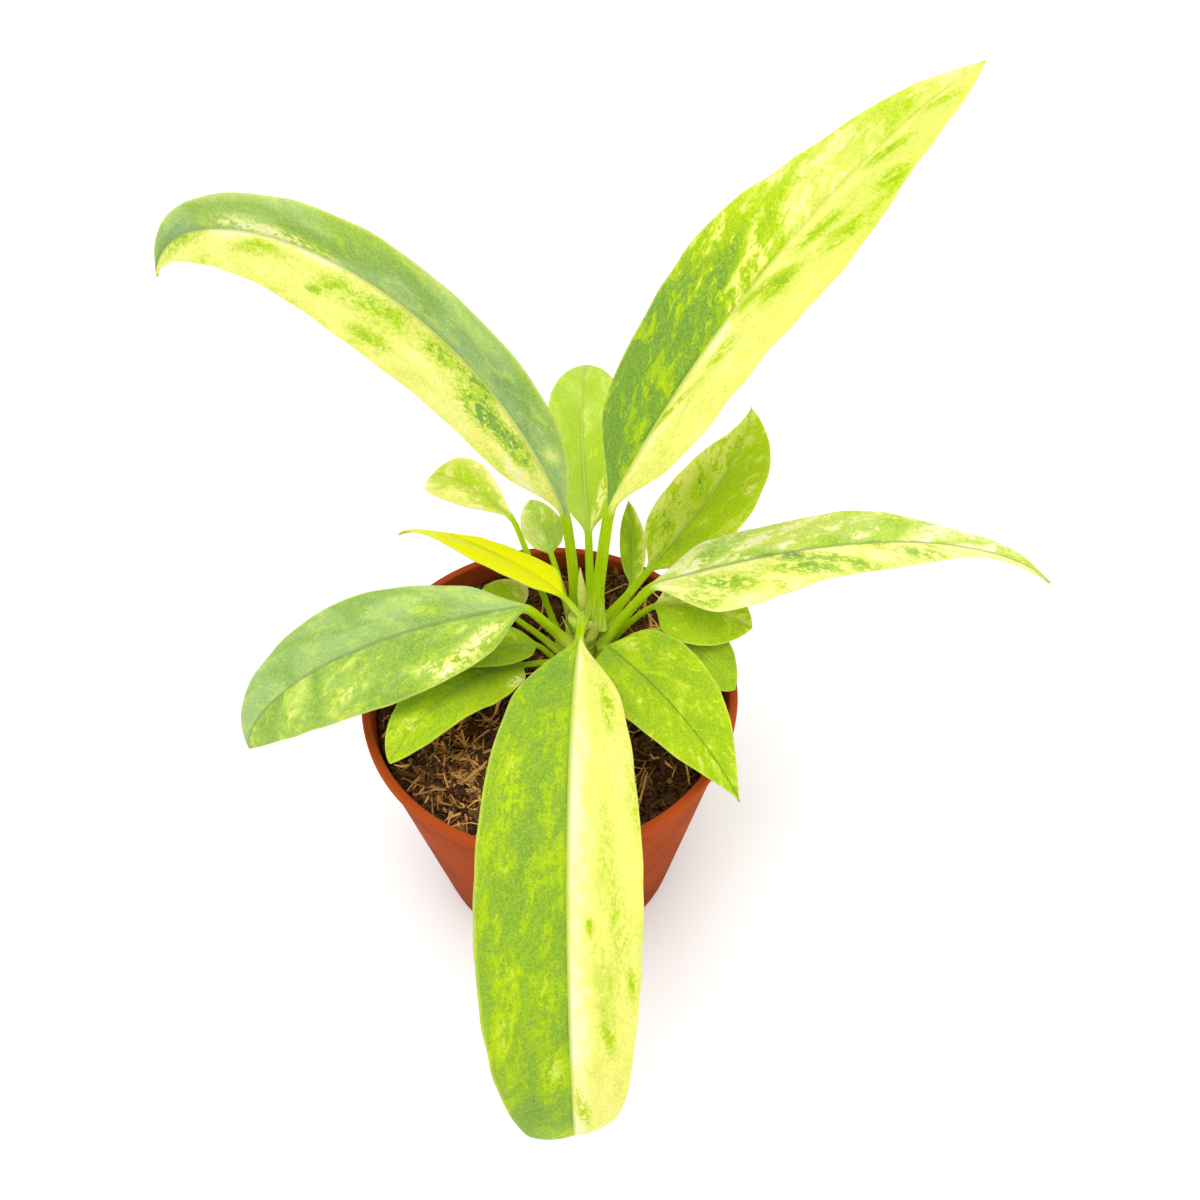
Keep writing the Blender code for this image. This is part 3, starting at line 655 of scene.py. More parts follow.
def leaf_material(leaf, settings):
    """Marbled tissue that runs out along the side veins, with a midrib and faint veins."""
    made, start = start_material(leaf.name.replace("leaf_", "tissue_"))
    seed = leaf.blade * 1.37 + leaf.heading * 0.31
    lateral, along, _ = components(attribute(start, "spot"))
    across, share, under = components(attribute(start, "share"))
    out = abs(lateral)
    spread = abs(across)
    right_side = smooth(lateral, -0.12, 0.12)
    on_blade = smooth(along, -1.5, 3.0)
    vein_flow = along - 0.85 * out + 0.012 * out * out
    lean = radians(leaf.lean)
    ahead = along * cos(lean) + out * sin(lean)
    aside = out * cos(lean) - along * sin(lean)
    half_seed = seed + right_side * 9.0

    def halves(values):
        return right_side.math("MULTIPLY_ADD", right_side, values[1] - values[0], values[0])

    broad = texture(combine(ahead * 0.05, aside * 0.1, half_seed), 1.0, 3.0, 0.55, 0.6)
    blotch = texture(combine(ahead * 0.12, aside * 0.25, half_seed + 3.0), 1.0, 4.0, 0.6, 0.6)
    fleck = texture(combine(ahead * 0.42, aside * 0.75, seed), 1.0, 4.0, 0.6, 0.5)
    speckle = texture(combine(lateral, along, seed), 1.9, 3.0, 0.75)
    grain = texture(combine(ahead * 0.9, aside * 1.8, seed + 5.0), 1.0, 3.0, 0.65, 0.3)
    ragged = (blotch - 0.5) * 3.0 + (fleck - 0.5) * 3.0 + (grain - 0.5) * 2.0

    tissue = halves((leaf.left[0], leaf.right[0]))
    drift = (broad - 0.5) * 3.0 + (blotch - 0.5) * 1.8 + (fleck - 0.5) * 1.6 + (grain - 0.5) * 1.4
    tissue = tissue + halves((leaf.left[1], leaf.right[1])) * drift
    blotches = smooth(blotch + (broad - 0.5) * 0.7 + (fleck - 0.5) * 0.4, 0.5, 0.64)
    flecks = smooth(fleck + (blotch - 0.5) * 0.6, 0.55, 0.7)
    tissue = tissue + halves(leaf.marble) * (blotches + flecks * 0.5)
    if leaf.edge != (0.0, 0.0):
        tissue = tissue + halves(leaf.edge) * spread**3
    if leaf.fade != (0.0, 0.0):
        tissue = tissue + halves(leaf.fade) * smooth(share + ragged * 0.05, 0.3, 0.66)
    if leaf.core != (0.0, 0.0):
        tissue = tissue + halves(leaf.core) * smooth(spread + ragged * 0.08, 0.42, 0.1)
    patchy = {side: [] for side in (-1, 1)}
    for patch in leaf.patches:
        patchy[-1 if patch[0] < 0 else 1].append(patch)
    change = 0.0
    for side, patches in patchy.items():
        ahead = along * cos(lean) + lateral * (side * sin(lean))
        aside = lateral * (side * cos(lean)) - along * sin(lean)
        spot = combine(ahead, aside, 0.0)
        for place_across, place_along, length, width, paler in patches:
            centre_out = abs(place_across) * half_width(leaf, place_along)
            centre_along = place_along * leaf.blade
            centre = (
                centre_along * cos(lean) + centre_out * sin(lean), centre_out * cos(lean) - centre_along * sin(lean)
            )
            scale = (2 / length, 2 / width, 0.0)
            shift = (-centre[0] * scale[0], -centre[1] * scale[1], 0.0)
            away = spot.node("ShaderNodeVectorMath", {"operation": "MULTIPLY_ADD"}, {0: spot, 1: scale, 2: shift})
            away = away.node("ShaderNodeVectorMath", {"operation": "LENGTH"}, {0: away}, "Value")
            change = smooth(away + ragged * 0.7, 2.0, 0.5) * paler + change
    if leaf.patches:
        tissue = tissue + change * (0.25 + smooth(fleck * 0.6 + blotch * 0.4, 0.455, 0.525))
    stops = [
        (0.0, settings.deep), (0.12, settings.deep), (0.28, settings.green), (0.48, settings.lime),
        (0.64, settings.pale), (0.74, settings.lemon), (0.86, settings.cream), (1.0, settings.white),
    ]
    if leaf.yellow:
        stops = [(0.3, settings.lime), (0.6, settings.yellow), (1.0, settings.yellow)]
    colour = start.node("ShaderNodeValToRGB", {"stops": stops}, {"Fac": tissue})
    grainy = 1 - smooth(tissue, 0.5, 0.75) * 0.7
    colour = blend(smooth(speckle, 0.46, 0.62) * grainy * 0.26, colour, rgba(settings.deep), "MULTIPLY")
    colour = blend(smooth(speckle, 0.48, 0.36) * grainy * 0.22, colour, rgba(settings.pale))

    bent = vein_flow + (texture(combine(lateral, along, seed), 0.09, 1.0) - 0.5) * 4.0
    cycle = (bent / settings.vein_spacing).math("FRACT", bent / settings.vein_spacing)
    from_vein = abs(cycle - 0.5) * settings.vein_spacing
    vein = smooth(from_vein, 0.3, 0.05) * smooth(spread, 1.0, 0.5) * on_blade
    colour = blend(vein * 0.13, colour, rgba(settings.pale))

    rib_width = (0.12 + 0.14 * leaf.rib) * leaf.stalk_radius * (1 - 0.7 * share) + 0.1
    rib = smooth(out / rib_width, 1.25, 0.7)
    # Partly painted shade: the darker green band beside the midrib is its green edging and also the shadow along its
    # lower side
    beside = smooth(out / rib_width, 2.8, 1.2) * (1 - rib) * on_blade
    colour = blend(beside * (0.5 - 0.25 * leaf.rib), colour, rgba(settings.green), "MULTIPLY")
    pale_rib = settings.yellow if leaf.yellow else settings.pale
    # Painted shade: the lower leaf.rib is, the more the midrib is mixed toward a darkened deep green, for the shade in
    # its groove
    rib_and_shade_colour = tuple(leaf.rib * pale + (1 - leaf.rib) * 0.5 * deep for pale, deep in zip(pale_rib, settings.deep))
    colour = blend(rib * 0.75 * on_blade, colour, rgba(rib_and_shade_colour))

    to_margin = out * (1 / (spread + 0.02) - 1)
    colour = blend(smooth(to_margin, 0.5, 0.15) * on_blade * 0.3, colour, rgba(settings.pale))
    colour = blend(under * on_blade * 0.5, colour, rgba(settings.under))

    streak = texture(combine(lateral * 2.2, along * 0.08, seed), 1.0, 2.0)
    stalk_colour = blend(smooth(streak, 0.4, 0.6), rgba(settings.stalk), rgba(settings.lime))
    root = smooth(along, 10.0 - leaf.stalk, -leaf.stalk)
    stalk_colour = blend(root * smooth(streak, 0.35, 0.6) * 0.6, stalk_colour, rgba(settings.pale))
    stalk_colour = blend(smooth(speckle, 0.45, 0.65) * 0.3, stalk_colour, rgba(settings.green), "MULTIPLY")
    # Painted sheen: each half is mixed in broad clouds toward the greyish sheen colour, for reflected light
    if leaf.painted_sheen != (0.0, 0.0):
        colour = blend((smooth(broad, 0.35, 0.6) * 0.6 + 0.4) * halves(leaf.painted_sheen), colour, rgba(settings.painted_sheen))
    colour = blend(on_blade, stalk_colour, colour)

    quilt = smooth(from_vein, 0.0, 2.4) * on_blade * smooth(out, 0.5, 2.5)
    height = quilt * 0.55 + fleck * 0.15 + speckle * 0.1 + streak * 0.15 * (1 - on_blade)
    roughness = settings.roughness + (fleck - 0.5) * 0.14
    constants = {
        "Specular IOR Level": 0.04, "Subsurface Weight": 0.35, "Subsurface Radius": (1.0, 1.0, 0.4),
        "Subsurface Scale": 0.002,
    }
    finish_material(start, colour, roughness, height, 0.16, constants)
    return made


# The pot

def pot_outer_radius(height):
    """The body's taper, from the foot to the underside of the lip."""
    return POT_BASE_RADIUS + (POT_NECK_RADIUS - POT_BASE_RADIUS) * height / (POT_HEIGHT - LIP_HEIGHT)


def corner(centre, radius, first, last, steps=5):
    """Points on a rounded corner, as radius and height."""
    angles = np.radians(np.linspace(first, last, steps))
    return [(centre[0] + radius * cos(a), centre[1] + radius * sin(a)) for a in angles]


def pot_profile():
    neck = POT_HEIGHT - LIP_HEIGHT
    inner_rim = POT_RIM_RADIUS - LIP_WIDTH
    profile = [(0.0, 0.9), (20.0, 0.9), (POT_BASE_RADIUS - 7.0, 0.9), (POT_BASE_RADIUS - 5.6, 0.0)]
    profile += corner((POT_BASE_RADIUS - 1.2, 1.3), 1.3, -90, -8)
    profile += [(pot_outer_radius(height), height) for height in np.linspace(6.0, neck - 1.6, 9)]
    profile += [(POT_NECK_RADIUS, neck - 0.5), (POT_NECK_RADIUS + 0.15, neck - 0.1)]
    profile += corner((POT_RIM_RADIUS - 0.5, neck + 0.6), 0.5, -60, 0, 3)
    profile += corner((POT_RIM_RADIUS - 1.1, POT_HEIGHT - 1.1), 1.1, 0, 90, 6)
    profile += corner((inner_rim + 0.8, POT_HEIGHT - 0.8), 0.8, 90, 180, 5)
    profile += [(inner_rim + 0.05, neck + 1.0), (pot_outer_radius(neck) - WALL, neck - 0.6)]
    profile += [(pot_outer_radius(height) - WALL, height) for height in np.linspace(neck - 6, FLOOR + 2.0, 6)]
    profile += [(pot_outer_radius(FLOOR) - WALL - 1.2, FLOOR), (20.0, FLOOR), (0.0, FLOOR)]
    return profile


def pot_material(settings):
    """Moulded terracotta-coloured plastic with faint flow marks, scuffs and a little dust, painted shade growing
    towards the foot, and a lip painted lighter.
    """
    made, start = start_material("terracotta_plastic")
    spot = object_place(start)
    _, _, height = components(spot)
    cloud = texture(spot, 0.05, 3.0)
    mark = texture(spot, 0.35, 4.0, 0.6, 0.8)
    grain = texture(spot, 2.4, 2.0)
    dust = texture(spot, 0.9, 5.0, 0.7)
    speck = texture(spot, 0.55, 1.0, 0.5)
    body = tuple(settings.plastic)
    darker = tuple(value * 0.78 for value in body)
    colour = blend(smooth(cloud, 0.3, 0.7), rgba(darker), rgba(body))
    colour = blend(smooth(mark, 0.55, 0.75) * 0.1, colour, rgba(settings.scuff))
    low = smooth(height, 30.0, 0.0)
    # Painted shade: the wall is darkened more and more from 75 mm down to the foot, against the light thrown up off
    # the floor
    colour = blend(smooth(height, 75.0, 5.0) * 0.6, colour, rgba(tuple(value * 0.45 for value in body)))
    colour = blend(smooth(dust, 0.56, 0.72) * (0.06 + low * 0.12), colour, (0.3, 0.14, 0.07, 1.0))
    # Painted light: the lip takes the lighter lip colour, for the light on its top and through its thin edge
    colour = blend(smooth(height, POT_HEIGHT - LIP_HEIGHT - 0.6, POT_HEIGHT - LIP_HEIGHT + 0.4), colour, rgba(settings.lip))
    colour = blend(smooth(speck, 0.79, 0.82), colour, (0.04, 0.02, 0.01, 1.0))
    roughness = settings.roughness + (mark - 0.5) * 0.22 + smooth(dust, 0.5, 0.8) * 0.15
    finish_material(start, colour, roughness, grain * 0.5 + mark * 0.5, 0.05, {"Specular IOR Level": 0.004})
    return made


def cut_drain_holes(pot):
    for index in range(DRAIN_HOLES):
        angle = 2 * pi * (index + 0.5) / DRAIN_HOLES
        centre = Vector((DRAIN_HOLE_CIRCLE * cos(angle), DRAIN_HOLE_CIRCLE * sin(angle), FLOOR / 2)) * MM
        bm = bmesh.new()
        bmesh.ops.create_cone(
            bm, cap_ends=True, segments=32, radius1=DRAIN_HOLE_RADIUS * MM, radius2=DRAIN_HOLE_RADIUS * MM,
            depth=3 * FLOOR * MM, matrix=Matrix.Translation(centre),
        )
        mesh = bpy.data.meshes.new("drain_cutter")
        bm.to_mesh(mesh)
        bm.free()
        cutter = bpy.data.objects.new("drain_cutter", mesh)
        bpy.context.scene.collection.objects.link(cutter)
        cut = pot.modifiers.new("drain_hole", "BOOLEAN")
        cut.object = cutter
        cut.solver = "EXACT"
        apply_modifiers(pot)
        bpy.data.objects.remove(cutter, do_unlink=True)


def apply_modifiers(piece):
    """Bakes a piece's modifiers into its mesh."""
    graph = bpy.context.evaluated_depsgraph_get()
    settled = bpy.data.meshes.new_from_object(piece.evaluated_get(graph))
    piece.modifiers.clear()
    piece.data = settled


def build_pot(settings):
    bm = bmesh.new()
    verts = [bm.verts.new((radius * MM, 0.0, height * MM)) for radius, height in pot_profile()]
    edges = [bm.edges.new(pair) for pair in zip(verts[:-1], verts[1:])]
    bmesh.ops.spin(
        bm, geom=verts + edges, cent=(0, 0, 0), axis=(0, 0, 1), angle=2 * pi, steps=settings.steps, use_merge=True
    )
    bmesh.ops.remove_doubles(bm, verts=bm.verts, dist=1e-7)
    pot = finish_piece("pot_shell", bm, pot_material(settings), ("pot",), 35.0)
    cut_drain_holes(pot)


# The compost

def soil_height(x, y):
    """Loose compost: small lumps all over and one hump against the rim behind the plant."""
    lumps = 0.7 * np.sin(0.33 * x + 1.0) * np.cos(0.29 * y) + 0.5 * np.sin(0.61 * x - 0.47 * y)
    away = (x - SOIL_HUMP_CENTRE[0]) ** 2 + (y - SOIL_HUMP_CENTRE[1]) ** 2
    return SOIL_LEVEL + lumps + SOIL_HUMP * np.exp(-away / SOIL_HUMP_RADIUS**2)


def relief(x, y):
    """The compost's fine surface: the lumps above with crumbs and hollows on them."""
    lump = noise.fractal(Vector((x / 5.5, y / 5.5, 0.0)), 0.8, 2.1, 4)
    pit = noise.noise(Vector((x / 2.1, y / 2.1, 4.0)))
    edge = min(1.0, max(0.0, (SOIL_EDGE - (x * x + y * y) ** 0.5) / 6))
    return soil_height(x, y) + (1.9 * lump + 0.8 * pit) * (0.5 + 0.5 * edge) - 0.8 * (1 - edge)


def build_compost(settings):
    sides = 224
    stations = [circle(POT_BASE_RADIUS - 4.0, FLOOR + GAP, sides)]
    for share in np.linspace(0.0, 1.0, 76):
        radius = SOIL_EDGE * (1 - share) + 0.4 * share
        ring = circle(radius, 0.0, sides)
        ring[:, 2] = [relief(x, y) for x, y, _ in ring]
        stations.append(ring)
    bm = bmesh.new()
    loft(bm, stations)
    finish_piece("compost", bm, compost_material(settings), ("soil",), 180.0)


def compost_material(settings):
    """Damp peat with paler husk worked into it; its darkest tone, where the crumbs dip, is partly painted shade in the
    hollows.
    """
    made, start = start_material("coir_compost")
    spot = object_place(start)
    patch = texture(spot, 0.14, 4.0, 0.6)
    crumb = texture(spot, 0.9, 5.0, 0.65)
    husk = texture(spot, 0.55, 3.0, 0.6, 1.2)
    grit = texture(spot, 3.0, 2.0)
    # Painted shade: the colour runs to near black where the crumb noise is low, which is where the bump dips, and
    # lighter where it rises
    stops = [(0.42, settings.dark_peat_and_shade), (0.55, settings.brown), (0.66, (0.16, 0.085, 0.035))]
    colour = start.node("ShaderNodeValToRGB", {"stops": stops}, {"Fac": crumb * 0.7 + patch * 0.3})
    colour = blend(smooth(husk, 0.6, 0.68) * 0.7, colour, rgba(settings.husk))
    colour = blend(smooth(grit, 0.68, 0.74) * 0.5, colour, rgba(settings.straw))
    finish_material(start, colour, 0.85 + (crumb - 0.5) * 0.2, crumb * 0.8 + grit * 0.2, 1.1, {"Specular IOR Level": 0.02})
    return made


def litter_material(name, colours, rough, depth):
    """Each fibre or chip takes one tint of the range, with streaks along it."""
    made, start = start_material(name)
    spot = object_place(start)
    tint, _, _ = components(attribute(start, "tint"))
    streak = texture(spot, 1.6, 4.0, 0.65)
    stops = [(index / (len(colours) - 1), colour) for index, colour in enumerate(colours)]
    colour = start.node("ShaderNodeValToRGB", {"stops": stops}, {"Fac": tint + (streak - 0.5) * 0.5})
    finish_material(start, colour, rough + (streak - 0.5) * 0.2, streak, depth, {"Specular IOR Level": 0.02})
    return made


def open_spot(random, margin=2.0):
    """A random place on the compost, clear of the stem. About one in three is in the mat of fibres at the front."""
    while True:
        x, y = random.uniform(-SOIL_EDGE, SOIL_EDGE, 2)
        if random.uniform() < 0.32:
            x, y = MAT_CENTRE + random.normal(0, MAT_SPREAD, 2)
        clear_of_stem = np.hypot(x - STEM_CENTRE[0], y - STEM_CENTRE[1]) > STEM_RADIUS + margin
        if np.hypot(x, y) < SOIL_EDGE - margin and clear_of_stem:
            return x, y


def fibre_path(random, length):
    """A nearly straight fibre that lies on the compost and may lift at one end."""
    x, y = open_spot(random)
    heading = random.uniform(0, 2 * pi)
    bend = random.normal(0, 0.018)
    lift = random.uniform(0.1, 0.7)
    tip_lift = random.uniform(0.0, 2.4) * random.integers(0, 2)
    steps = 5
    points = []
    for index in range(steps + 1):
        if np.hypot(x, y) > SOIL_EDGE - 0.8:
            break
        points.append((x, y, relief(x, y) + lift + tip_lift * (index / steps) ** 2))
        x += length / steps * cos(heading)
        y += length / steps * sin(heading)
        heading += bend * length / steps + random.normal(0, 0.03)
    return np.array(points)


def append(bm, part, layer_name, value):
    """Adds a small bmesh to a large one, with one value of a layer on all its points."""
    layer = part.verts.layers.float_vector.new(layer_name)
    for vert in part.verts:
        vert[layer] = value
    mesh = bpy.data.meshes.new("part")
    part.to_mesh(mesh)
    part.free()
    bm.from_mesh(mesh)
    bpy.data.meshes.remove(mesh)


def strand(path, radius, flatness):
    """A five-sided strand along the path, flattened."""
    stations = []
    for index, point in enumerate(path):
        ahead = path[min(index + 1, len(path) - 1)] - path[max(index - 1, 0)]
        ahead = ahead / np.linalg.norm(ahead)
        side = np.cross(ahead, (0.0, 0.0, 1.0))
        side = side / np.linalg.norm(side)
        over = np.cross(side, ahead)
        taper = radius * (0.45 if index in (0, len(path) - 1) else 1.0)
        angles = np.arange(5) * 2 * pi / 5
        stations.append(point + taper * (np.outer(np.cos(angles), side) + flatness * np.outer(np.sin(angles), over)))
    part = bmesh.new()
    loft(part, stations)
    return part


def build_strands(name, settings, count, lengths, radii, flatness, colours, seed):
    random = np.random.default_rng(settings.seed + seed)
    bm = bmesh.new()
    bm.verts.layers.float_vector.new("tint")
    for _ in range(count):
        path = fibre_path(random, random.uniform(*lengths))
        radius = radii[0] + (radii[1] - radii[0]) * random.uniform() ** 2
        tint = random.beta(1.4, 1.3)
        if len(path) > 2:
            append(bm, strand(path, radius, flatness), "tint", (tint, 0.0, 0.0))
    finish_piece(name, bm, litter_material(name, colours, 0.75, 0.08))


def scatter(name, count, sizes, squash, settings, finish, sink, seed):
    """Rough lumps of 20 faces, flattened and turned at random, lying on the compost."""
    random = np.random.default_rng(settings.seed + seed)
    bm = bmesh.new()
    bm.verts.layers.float_vector.new("tint")
    for _ in range(count):
        x, y = open_spot(random, sizes[1] / 2)
        size = random.uniform(*sizes) * random.uniform(0.6, 1.0)
        shape = Matrix.Diagonal((size, size * random.uniform(*squash), size * random.uniform(0.25, 0.5), 1.0))
        turn = Euler((random.normal(0, 0.35), random.normal(0, 0.35), random.uniform(0, 2 * pi))).to_matrix().to_4x4()
        spot = Matrix.Translation((x, y, relief(x, y) + size * 0.2 - sink))
        part = bmesh.new()
        bmesh.ops.create_icosphere(part, subdivisions=1, radius=0.5 * MM, matrix=spot_matrix(spot @ turn @ shape))
        for vert in part.verts:
            vert.co += Vector(random.normal(0, 0.07, 3) * size * MM)
        append(bm, part, "tint", (random.beta(1.5, 2.0), 0.0, 0.0))
    finish_piece(name, bm, finish, sharp_angle=35.0)


def spot_matrix(matrix):
    """Moves a matrix in millimetres to metres, for a shape that is already in metres."""
    moved = matrix.copy()
    moved.translation = matrix.translation * MM
    return moved


def build_litter(settings):
    browns = [tuple(settings.dark_peat_and_shade), tuple(settings.brown), tuple(settings.husk), tuple(settings.straw)]
    build_strands("coir_fibres", settings, settings.fibres, (4.0, 15.0), (0.1, 0.28), 0.8, browns[1:], 0)
    build_strands("coir_straws", settings, settings.straws, (5.0, 13.0), (0.3, 0.6), 0.7, browns[2:], 4)
    build_strands("husk_splinters", settings, settings.splinters, (4.0, 12.0), (0.4, 1.0), 0.4, browns[:3], 3)
    chips = litter_material("husk_chips", browns[:3], 0.8, 0.12)
    scatter("husk_chips", settings.chips, (1.4, 5.2), (0.25, 0.7), settings, chips, 0.1, 1)
    peat = litter_material("peat_crumbs", [browns[0], browns[1], browns[2]], 0.9, 0.15)
    scatter("peat_crumbs", settings.crumbs, (0.8, 2.6), (0.6, 1.0), settings, peat, 0.1, 2)


# The stem and sheaths

def build_stem(settings):
    heights = np.linspace(SOIL_LEVEL - 6, STEM_TOP - 1.2, 12 * LEAF_SCARS + 1)
    stations = []
    for index, height in enumerate(heights):
        share = max(0.0, (height - SOIL_LEVEL) / (STEM_TOP - SOIL_LEVEL))
        radius = STEM_RADIUS + (STEM_TOP_RADIUS - STEM_RADIUS) * share**STEM_TAPER
        scar = 0.3 * max(0.0, sin(2 * pi * index / 12)) ** 4
        ring = circle(radius - scar, height, 48, STEM_CENTRE)
        ring[:, 2] += 0.8 * np.sin(np.arange(48) * 2 * pi / 48 + index // 12 * 2.4)
        stations.append(ring)
    for drop, inset in ((0.5, 0.5), (0.1, 1.5), (0.0, 3.0)):
        stations.append(circle(STEM_TOP_RADIUS - inset, STEM_TOP - drop, 48, STEM_CENTRE))
    bm = bmesh.new()
    loft(bm, stations)
    finish_piece("scarred_stem", bm, stem_material(settings), ("stem",), 60.0)


def stem_material(settings):
    """Green stem with pale rings and brown flecks where old sheaths have gone."""
    made, start = start_material("green_stem")
    spot = object_place(start)
    x, y, z = components(spot)
    ring = texture(combine(x * 0.1, y * 0.1, z * 0.9), 1.0, 3.0)
    fleck = texture(spot, 1.2, 4.0, 0.6)
    colour = blend(smooth(ring, 0.4, 0.65), rgba(settings.stalk), rgba(settings.pale))
    colour = blend(smooth(fleck, 0.6, 0.72) * 0.6, colour, (0.22, 0.13, 0.05, 1.0))
    low = smooth(z, SOIL_LEVEL + 8, SOIL_LEVEL - 1)
    colour = blend(low * 0.6, colour, (0.16, 0.1, 0.04, 1.0))
    finish_material(start, colour, 0.55 + (fleck - 0.5) * 0.2, ring * 0.6 + fleck * 0.4, 0.2)
    return made


def sheath_material(settings):
    """Thin dry sheath: pale green at its foot, papery cream above, with fine ribs."""
    made, start = start_material("papery_sheath")
    spot = object_place(start)
    x, y, z = components(spot)
    ribs = texture(combine(x * 2.5, y * 2.5, z * 0.12), 1.0, 2.0)
    blotch = texture(spot, 0.35, 3.0)
    colour = blend(smooth(blotch, 0.35, 0.65), rgba(settings.pale), rgba(settings.lemon))
    colour = blend(smooth(ribs, 0.5, 0.7) * 0.4, colour, rgba(settings.lime))
    finish_material(start, colour, 0.5 + (blotch - 0.5) * 0.2, ribs, 0.12, {"Subsurface Weight": 0.1, "Subsurface Scale": 0.001})
    return made


def build_bud_sheath(finish):
    """The narrow pointed sheath of the newest bud, rolled with an open seam."""
    rise, heading = radians(SHEATH_RISE), radians(SHEATH_HEADING)
    along = direction(rise, heading)
    side = np.array([sin(heading), -cos(heading), 0.0])
    front = np.cross(side, along)
    foot = np.array([STEM_CENTRE[0], STEM_CENTRE[1] + SHEATH_OUT, SHEATH_HEIGHT])
    angles = np.arange(28) * 2 * pi / 28
    seam = 1 - 0.16 * np.exp(-((angles - pi) / 0.35) ** 2)
    stations = []
    for share in np.linspace(0.0, 1.0, 26):
        radius = SHEATH_RADIUS * (1 - share) ** 0.7 * (0.9 + 0.35 * sin(pi * share) ** 2) + 0.12
        section = np.outer(seam * np.cos(angles), side) + np.outer(0.8 * seam * np.sin(angles), front)
        stations.append(foot + along * (SHEATH_LENGTH + 1.5) * (share - 0.08) + radius * section)
    bm = bmesh.new()
    loft(bm, stations)
    finish_piece("bud_scale", bm, finish, ("bud_sheath",), 60.0)


def add_scale(bm, around, height, length, width, lean):
    """A thin pointed sheath that hugs the stem, and leans away from it at its tip."""
    thick = 0.16
    stations = []
    for share in np.linspace(0.0, 1.0, 12):
        half = width / 2 * (1 - share) ** 0.75 + 0.12
        out = STEM_TOP_RADIUS + 0.7 + lean * share**2
        sweep = np.linspace(-1.0, 1.0, 7) * half / out
        inner = [(out, around + angle) for angle in sweep]
        outer = [(out + thick, around + angle) for angle in reversed(sweep)]
        ring = [
            (STEM_CENTRE[0] + r * cos(a), STEM_CENTRE[1] + r * sin(a), height + length * share) for r, a in inner + outer
        ]
        stations.append(np.array(ring))
    loft(bm, stations)


def build_sheaths(settings):
    finish = sheath_material(settings)
    build_bud_sheath(finish)
    bm = bmesh.new()
    for around, height, length, width, lean in (
        (205, 111, 11, 6.0, 1.6), (-50, 112, 10, 6.5, 1.2), (20, 111.5, 12, 5.5, 2.0),
        (135, 109, 12, 6.0, 1.4), (-100, 110, 9, 5.0, 1.4), (80, 108, 11, 5.5, 1.8),
    ):
        add_scale(bm, radians(around), height, length, width, lean)
    finish_piece("papery_scales", bm, finish, sharp_angle=60.0)


# The stage

def add_area_light(name, spot, aim, size, power, colour=(1.0, 1.0, 1.0)):
    light = bpy.data.lights.new(name, "AREA")
    light.shape = "DISK"
    light.size = size
    light.energy = power
    light.color = colour
    lamp = bpy.data.objects.new(name, light)
    lamp.location = spot
    lamp.rotation_euler = (Vector(aim) - Vector(spot)).to_track_quat("-Z", "Y").to_euler()
    bpy.context.scene.collection.objects.link(lamp)


def floor_material(settings):
    made, start = start_material("studio_floor")
    spot = object_place(start)
    cloud = texture(spot, 0.01, 2.0)
    colour = blend(cloud, rgba(settings.floor), rgba(tuple(value * 0.985 for value in settings.floor)))
    glow = {"Emission Color": (1.0, 1.0, 1.0, 1.0), "Emission Strength": settings.glow}
    finish_material(start, colour, 0.7, cloud, 0.01, glow)
    return made


def build_stage(settings):
    scene = bpy.context.scene
    bm = bmesh.new()
    bmesh.ops.create_grid(bm, x_segments=2, y_segments=2, size=2.5)
    mesh = bpy.data.meshes.new("studio_floor")
    bm.to_mesh(mesh)
    bm.free()
    mesh.materials.append(floor_material(settings))
    floor = bpy.data.objects.new("studio_floor", mesh)
    floor.location.z = -0.0005
    scene.collection.objects.link(floor)

    world = bpy.data.worlds.new("studio_light")
    world.use_nodes = True
    background = world.node_tree.nodes["Background"]
    background.inputs["Color"].default_value = (1.0, 1.0, 1.0, 1.0)
    background.inputs["Strength"].default_value = settings.sky
    scene.world = world
    add_area_light("key_light", (-0.25, -0.1, 1.9), (0.0, 0.1, 0.0), 1.6, settings.key)
    add_area_light("fill_light", (0.7, -0.5, 0.6), (0.0, 0.0, 0.12), 0.7, settings.fill)

    lens = bpy.data.cameras.new("studio_camera")
    lens.lens = settings.lens
    lens.sensor_width = 36.0
    lens.clip_start = 0.01
    camera = bpy.data.objects.new("studio_camera", lens)
    camera.location = settings.place
    camera.rotation_euler = (settings.tilt, 0.0, 0.0)
    scene.collection.objects.link(camera)
    scene.camera = camera
    scene.view_settings.view_transform = "Standard"
    scene.view_settings.look = "None"


# Operators

class ANTHURIUM_OT_pot(bpy.types.Operator):
    """Adds the nursery pot"""

    bl_idname = "anthurium.pot"
    bl_label = "Add pot"

    def execute(self, context):
        build_pot(context.scene.anthurium_pot)
        return {"FINISHED"}


class ANTHURIUM_OT_compost(bpy.types.Operator):
    """Adds the compost"""

    bl_idname = "anthurium.compost"
    bl_label = "Add compost"

    def execute(self, context):
        build_compost(context.scene.anthurium_compost)
        return {"FINISHED"}


class ANTHURIUM_OT_litter(bpy.types.Operator):
    """Adds the loose fibres, chips and crumbs on the compost"""

    bl_idname = "anthurium.litter"
    bl_label = "Add fibres and chips"

    def execute(self, context):
        build_litter(context.scene.anthurium_compost)
        return {"FINISHED"}


class ANTHURIUM_OT_stem(bpy.types.Operator):
    """Adds the short stem with its leaf scars"""

    bl_idname = "anthurium.stem"
    bl_label = "Add stem"

    def execute(self, context):
        build_stem(context.scene.anthurium_foliage)
        return {"FINISHED"}


class ANTHURIUM_OT_sheaths(bpy.types.Operator):
    """Adds the bud's sheath and the papery scales round the stem"""

    bl_idname = "anthurium.sheaths"
    bl_label = "Add sheaths"

    def execute(self, context):
        build_sheaths(context.scene.anthurium_foliage)
        return {"FINISHED"}


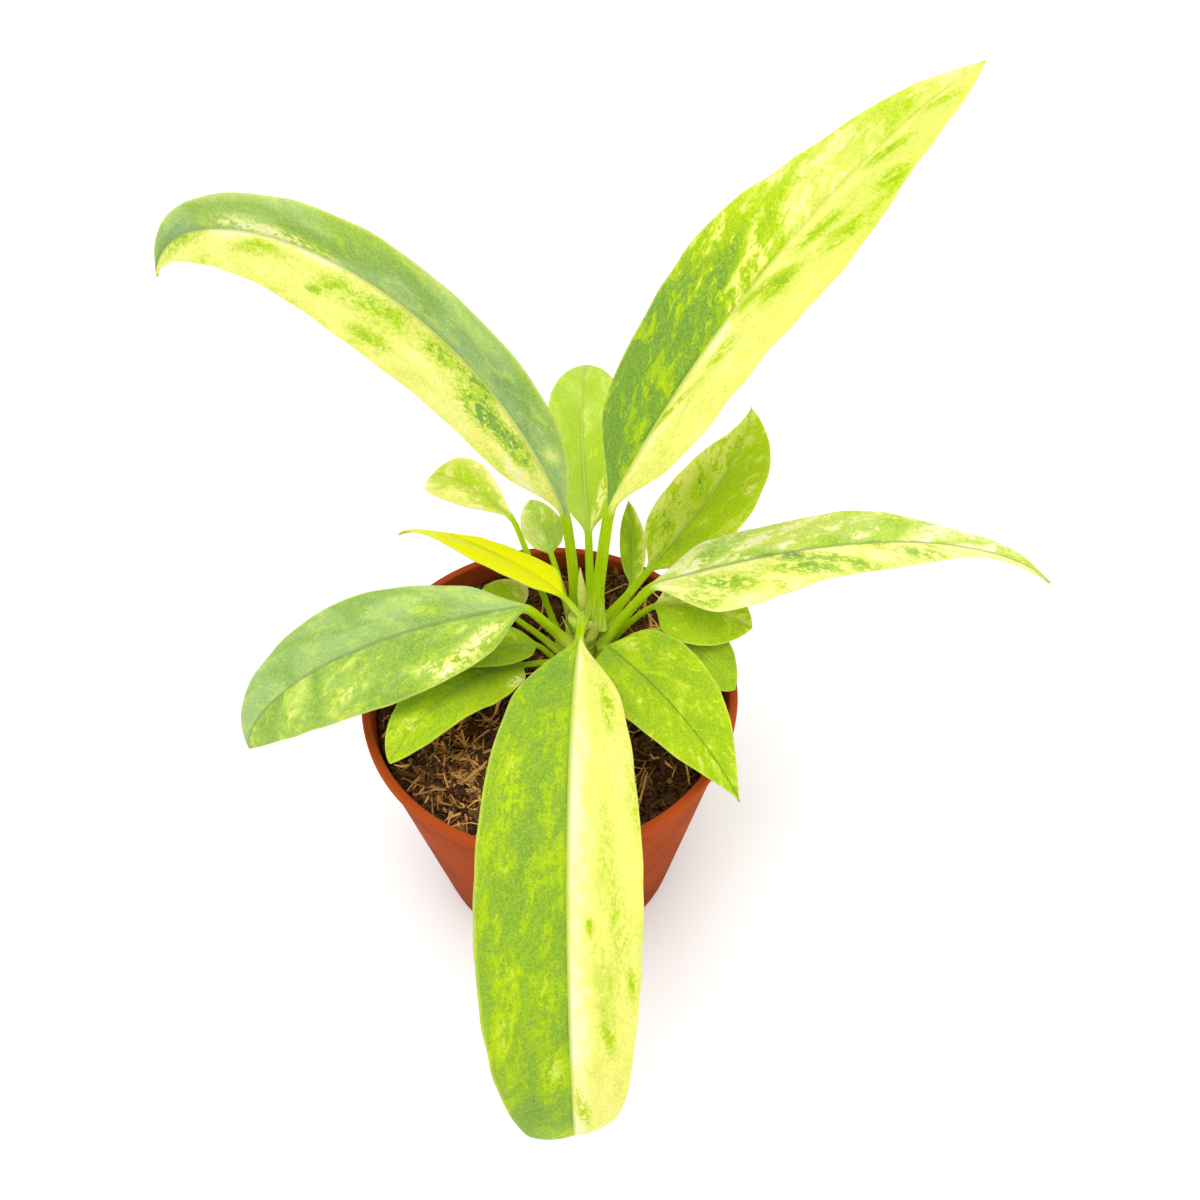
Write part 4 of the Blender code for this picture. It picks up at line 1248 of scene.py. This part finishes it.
class ANTHURIUM_OT_leaves(bpy.types.Operator):
    """Adds every leaf with its stalk"""

    bl_idname = "anthurium.leaves"
    bl_label = "Add leaves"

    def execute(self, context):
        for leaf in LEAVES:
            build_leaf(leaf, context.scene.anthurium_foliage)
        return {"FINISHED"}


class ANTHURIUM_OT_stage(bpy.types.Operator):
    """Adds the floor, the lights and the camera"""

    bl_idname = "anthurium.stage"
    bl_label = "Add stage"

    def execute(self, context):
        build_stage(context.scene.anthurium_stage)
        return {"FINISHED"}


class ANTHURIUM_PT_panel(bpy.types.Panel):
    """Lists the settings and the steps"""

    bl_label = "Anthurium"
    bl_idname = "ANTHURIUM_PT_panel"
    bl_space_type = "VIEW_3D"
    bl_region_type = "UI"
    bl_category = "Anthurium"

    def draw(self, context):
        for group in SETTINGS:
            settings = getattr(context.scene, group)
            box = self.layout.box()
            for name in settings.__annotations__:
                box.prop(settings, name)
        for operator in OPERATORS:
            self.layout.operator(operator.bl_idname)


SETTINGS = {
    "anthurium_foliage": FoliageSettings,
    "anthurium_pot": PotSettings,
    "anthurium_compost": CompostSettings,
    "anthurium_stage": StageSettings,
}
OPERATORS = (
    ANTHURIUM_OT_pot, ANTHURIUM_OT_compost, ANTHURIUM_OT_litter, ANTHURIUM_OT_stem, ANTHURIUM_OT_sheaths,
    ANTHURIUM_OT_leaves, ANTHURIUM_OT_stage,
)


def register():
    for group, settings in SETTINGS.items():
        bpy.utils.register_class(settings)
        setattr(bpy.types.Scene, group, PointerProperty(type=settings))
    for made in (*OPERATORS, ANTHURIUM_PT_panel):
        bpy.utils.register_class(made)


def unregister():
    for made in reversed((*OPERATORS, ANTHURIUM_PT_panel)):
        bpy.utils.unregister_class(made)
    for group, settings in SETTINGS.items():
        delattr(bpy.types.Scene, group)
        bpy.utils.unregister_class(settings)


def main():
    register()
    bpy.ops.anthurium.pot()
    bpy.ops.anthurium.compost()
    bpy.ops.anthurium.litter()
    bpy.ops.anthurium.stem()
    bpy.ops.anthurium.sheaths()
    bpy.ops.anthurium.leaves()
    bpy.ops.anthurium.stage()


if __name__ == "__main__":
    main()
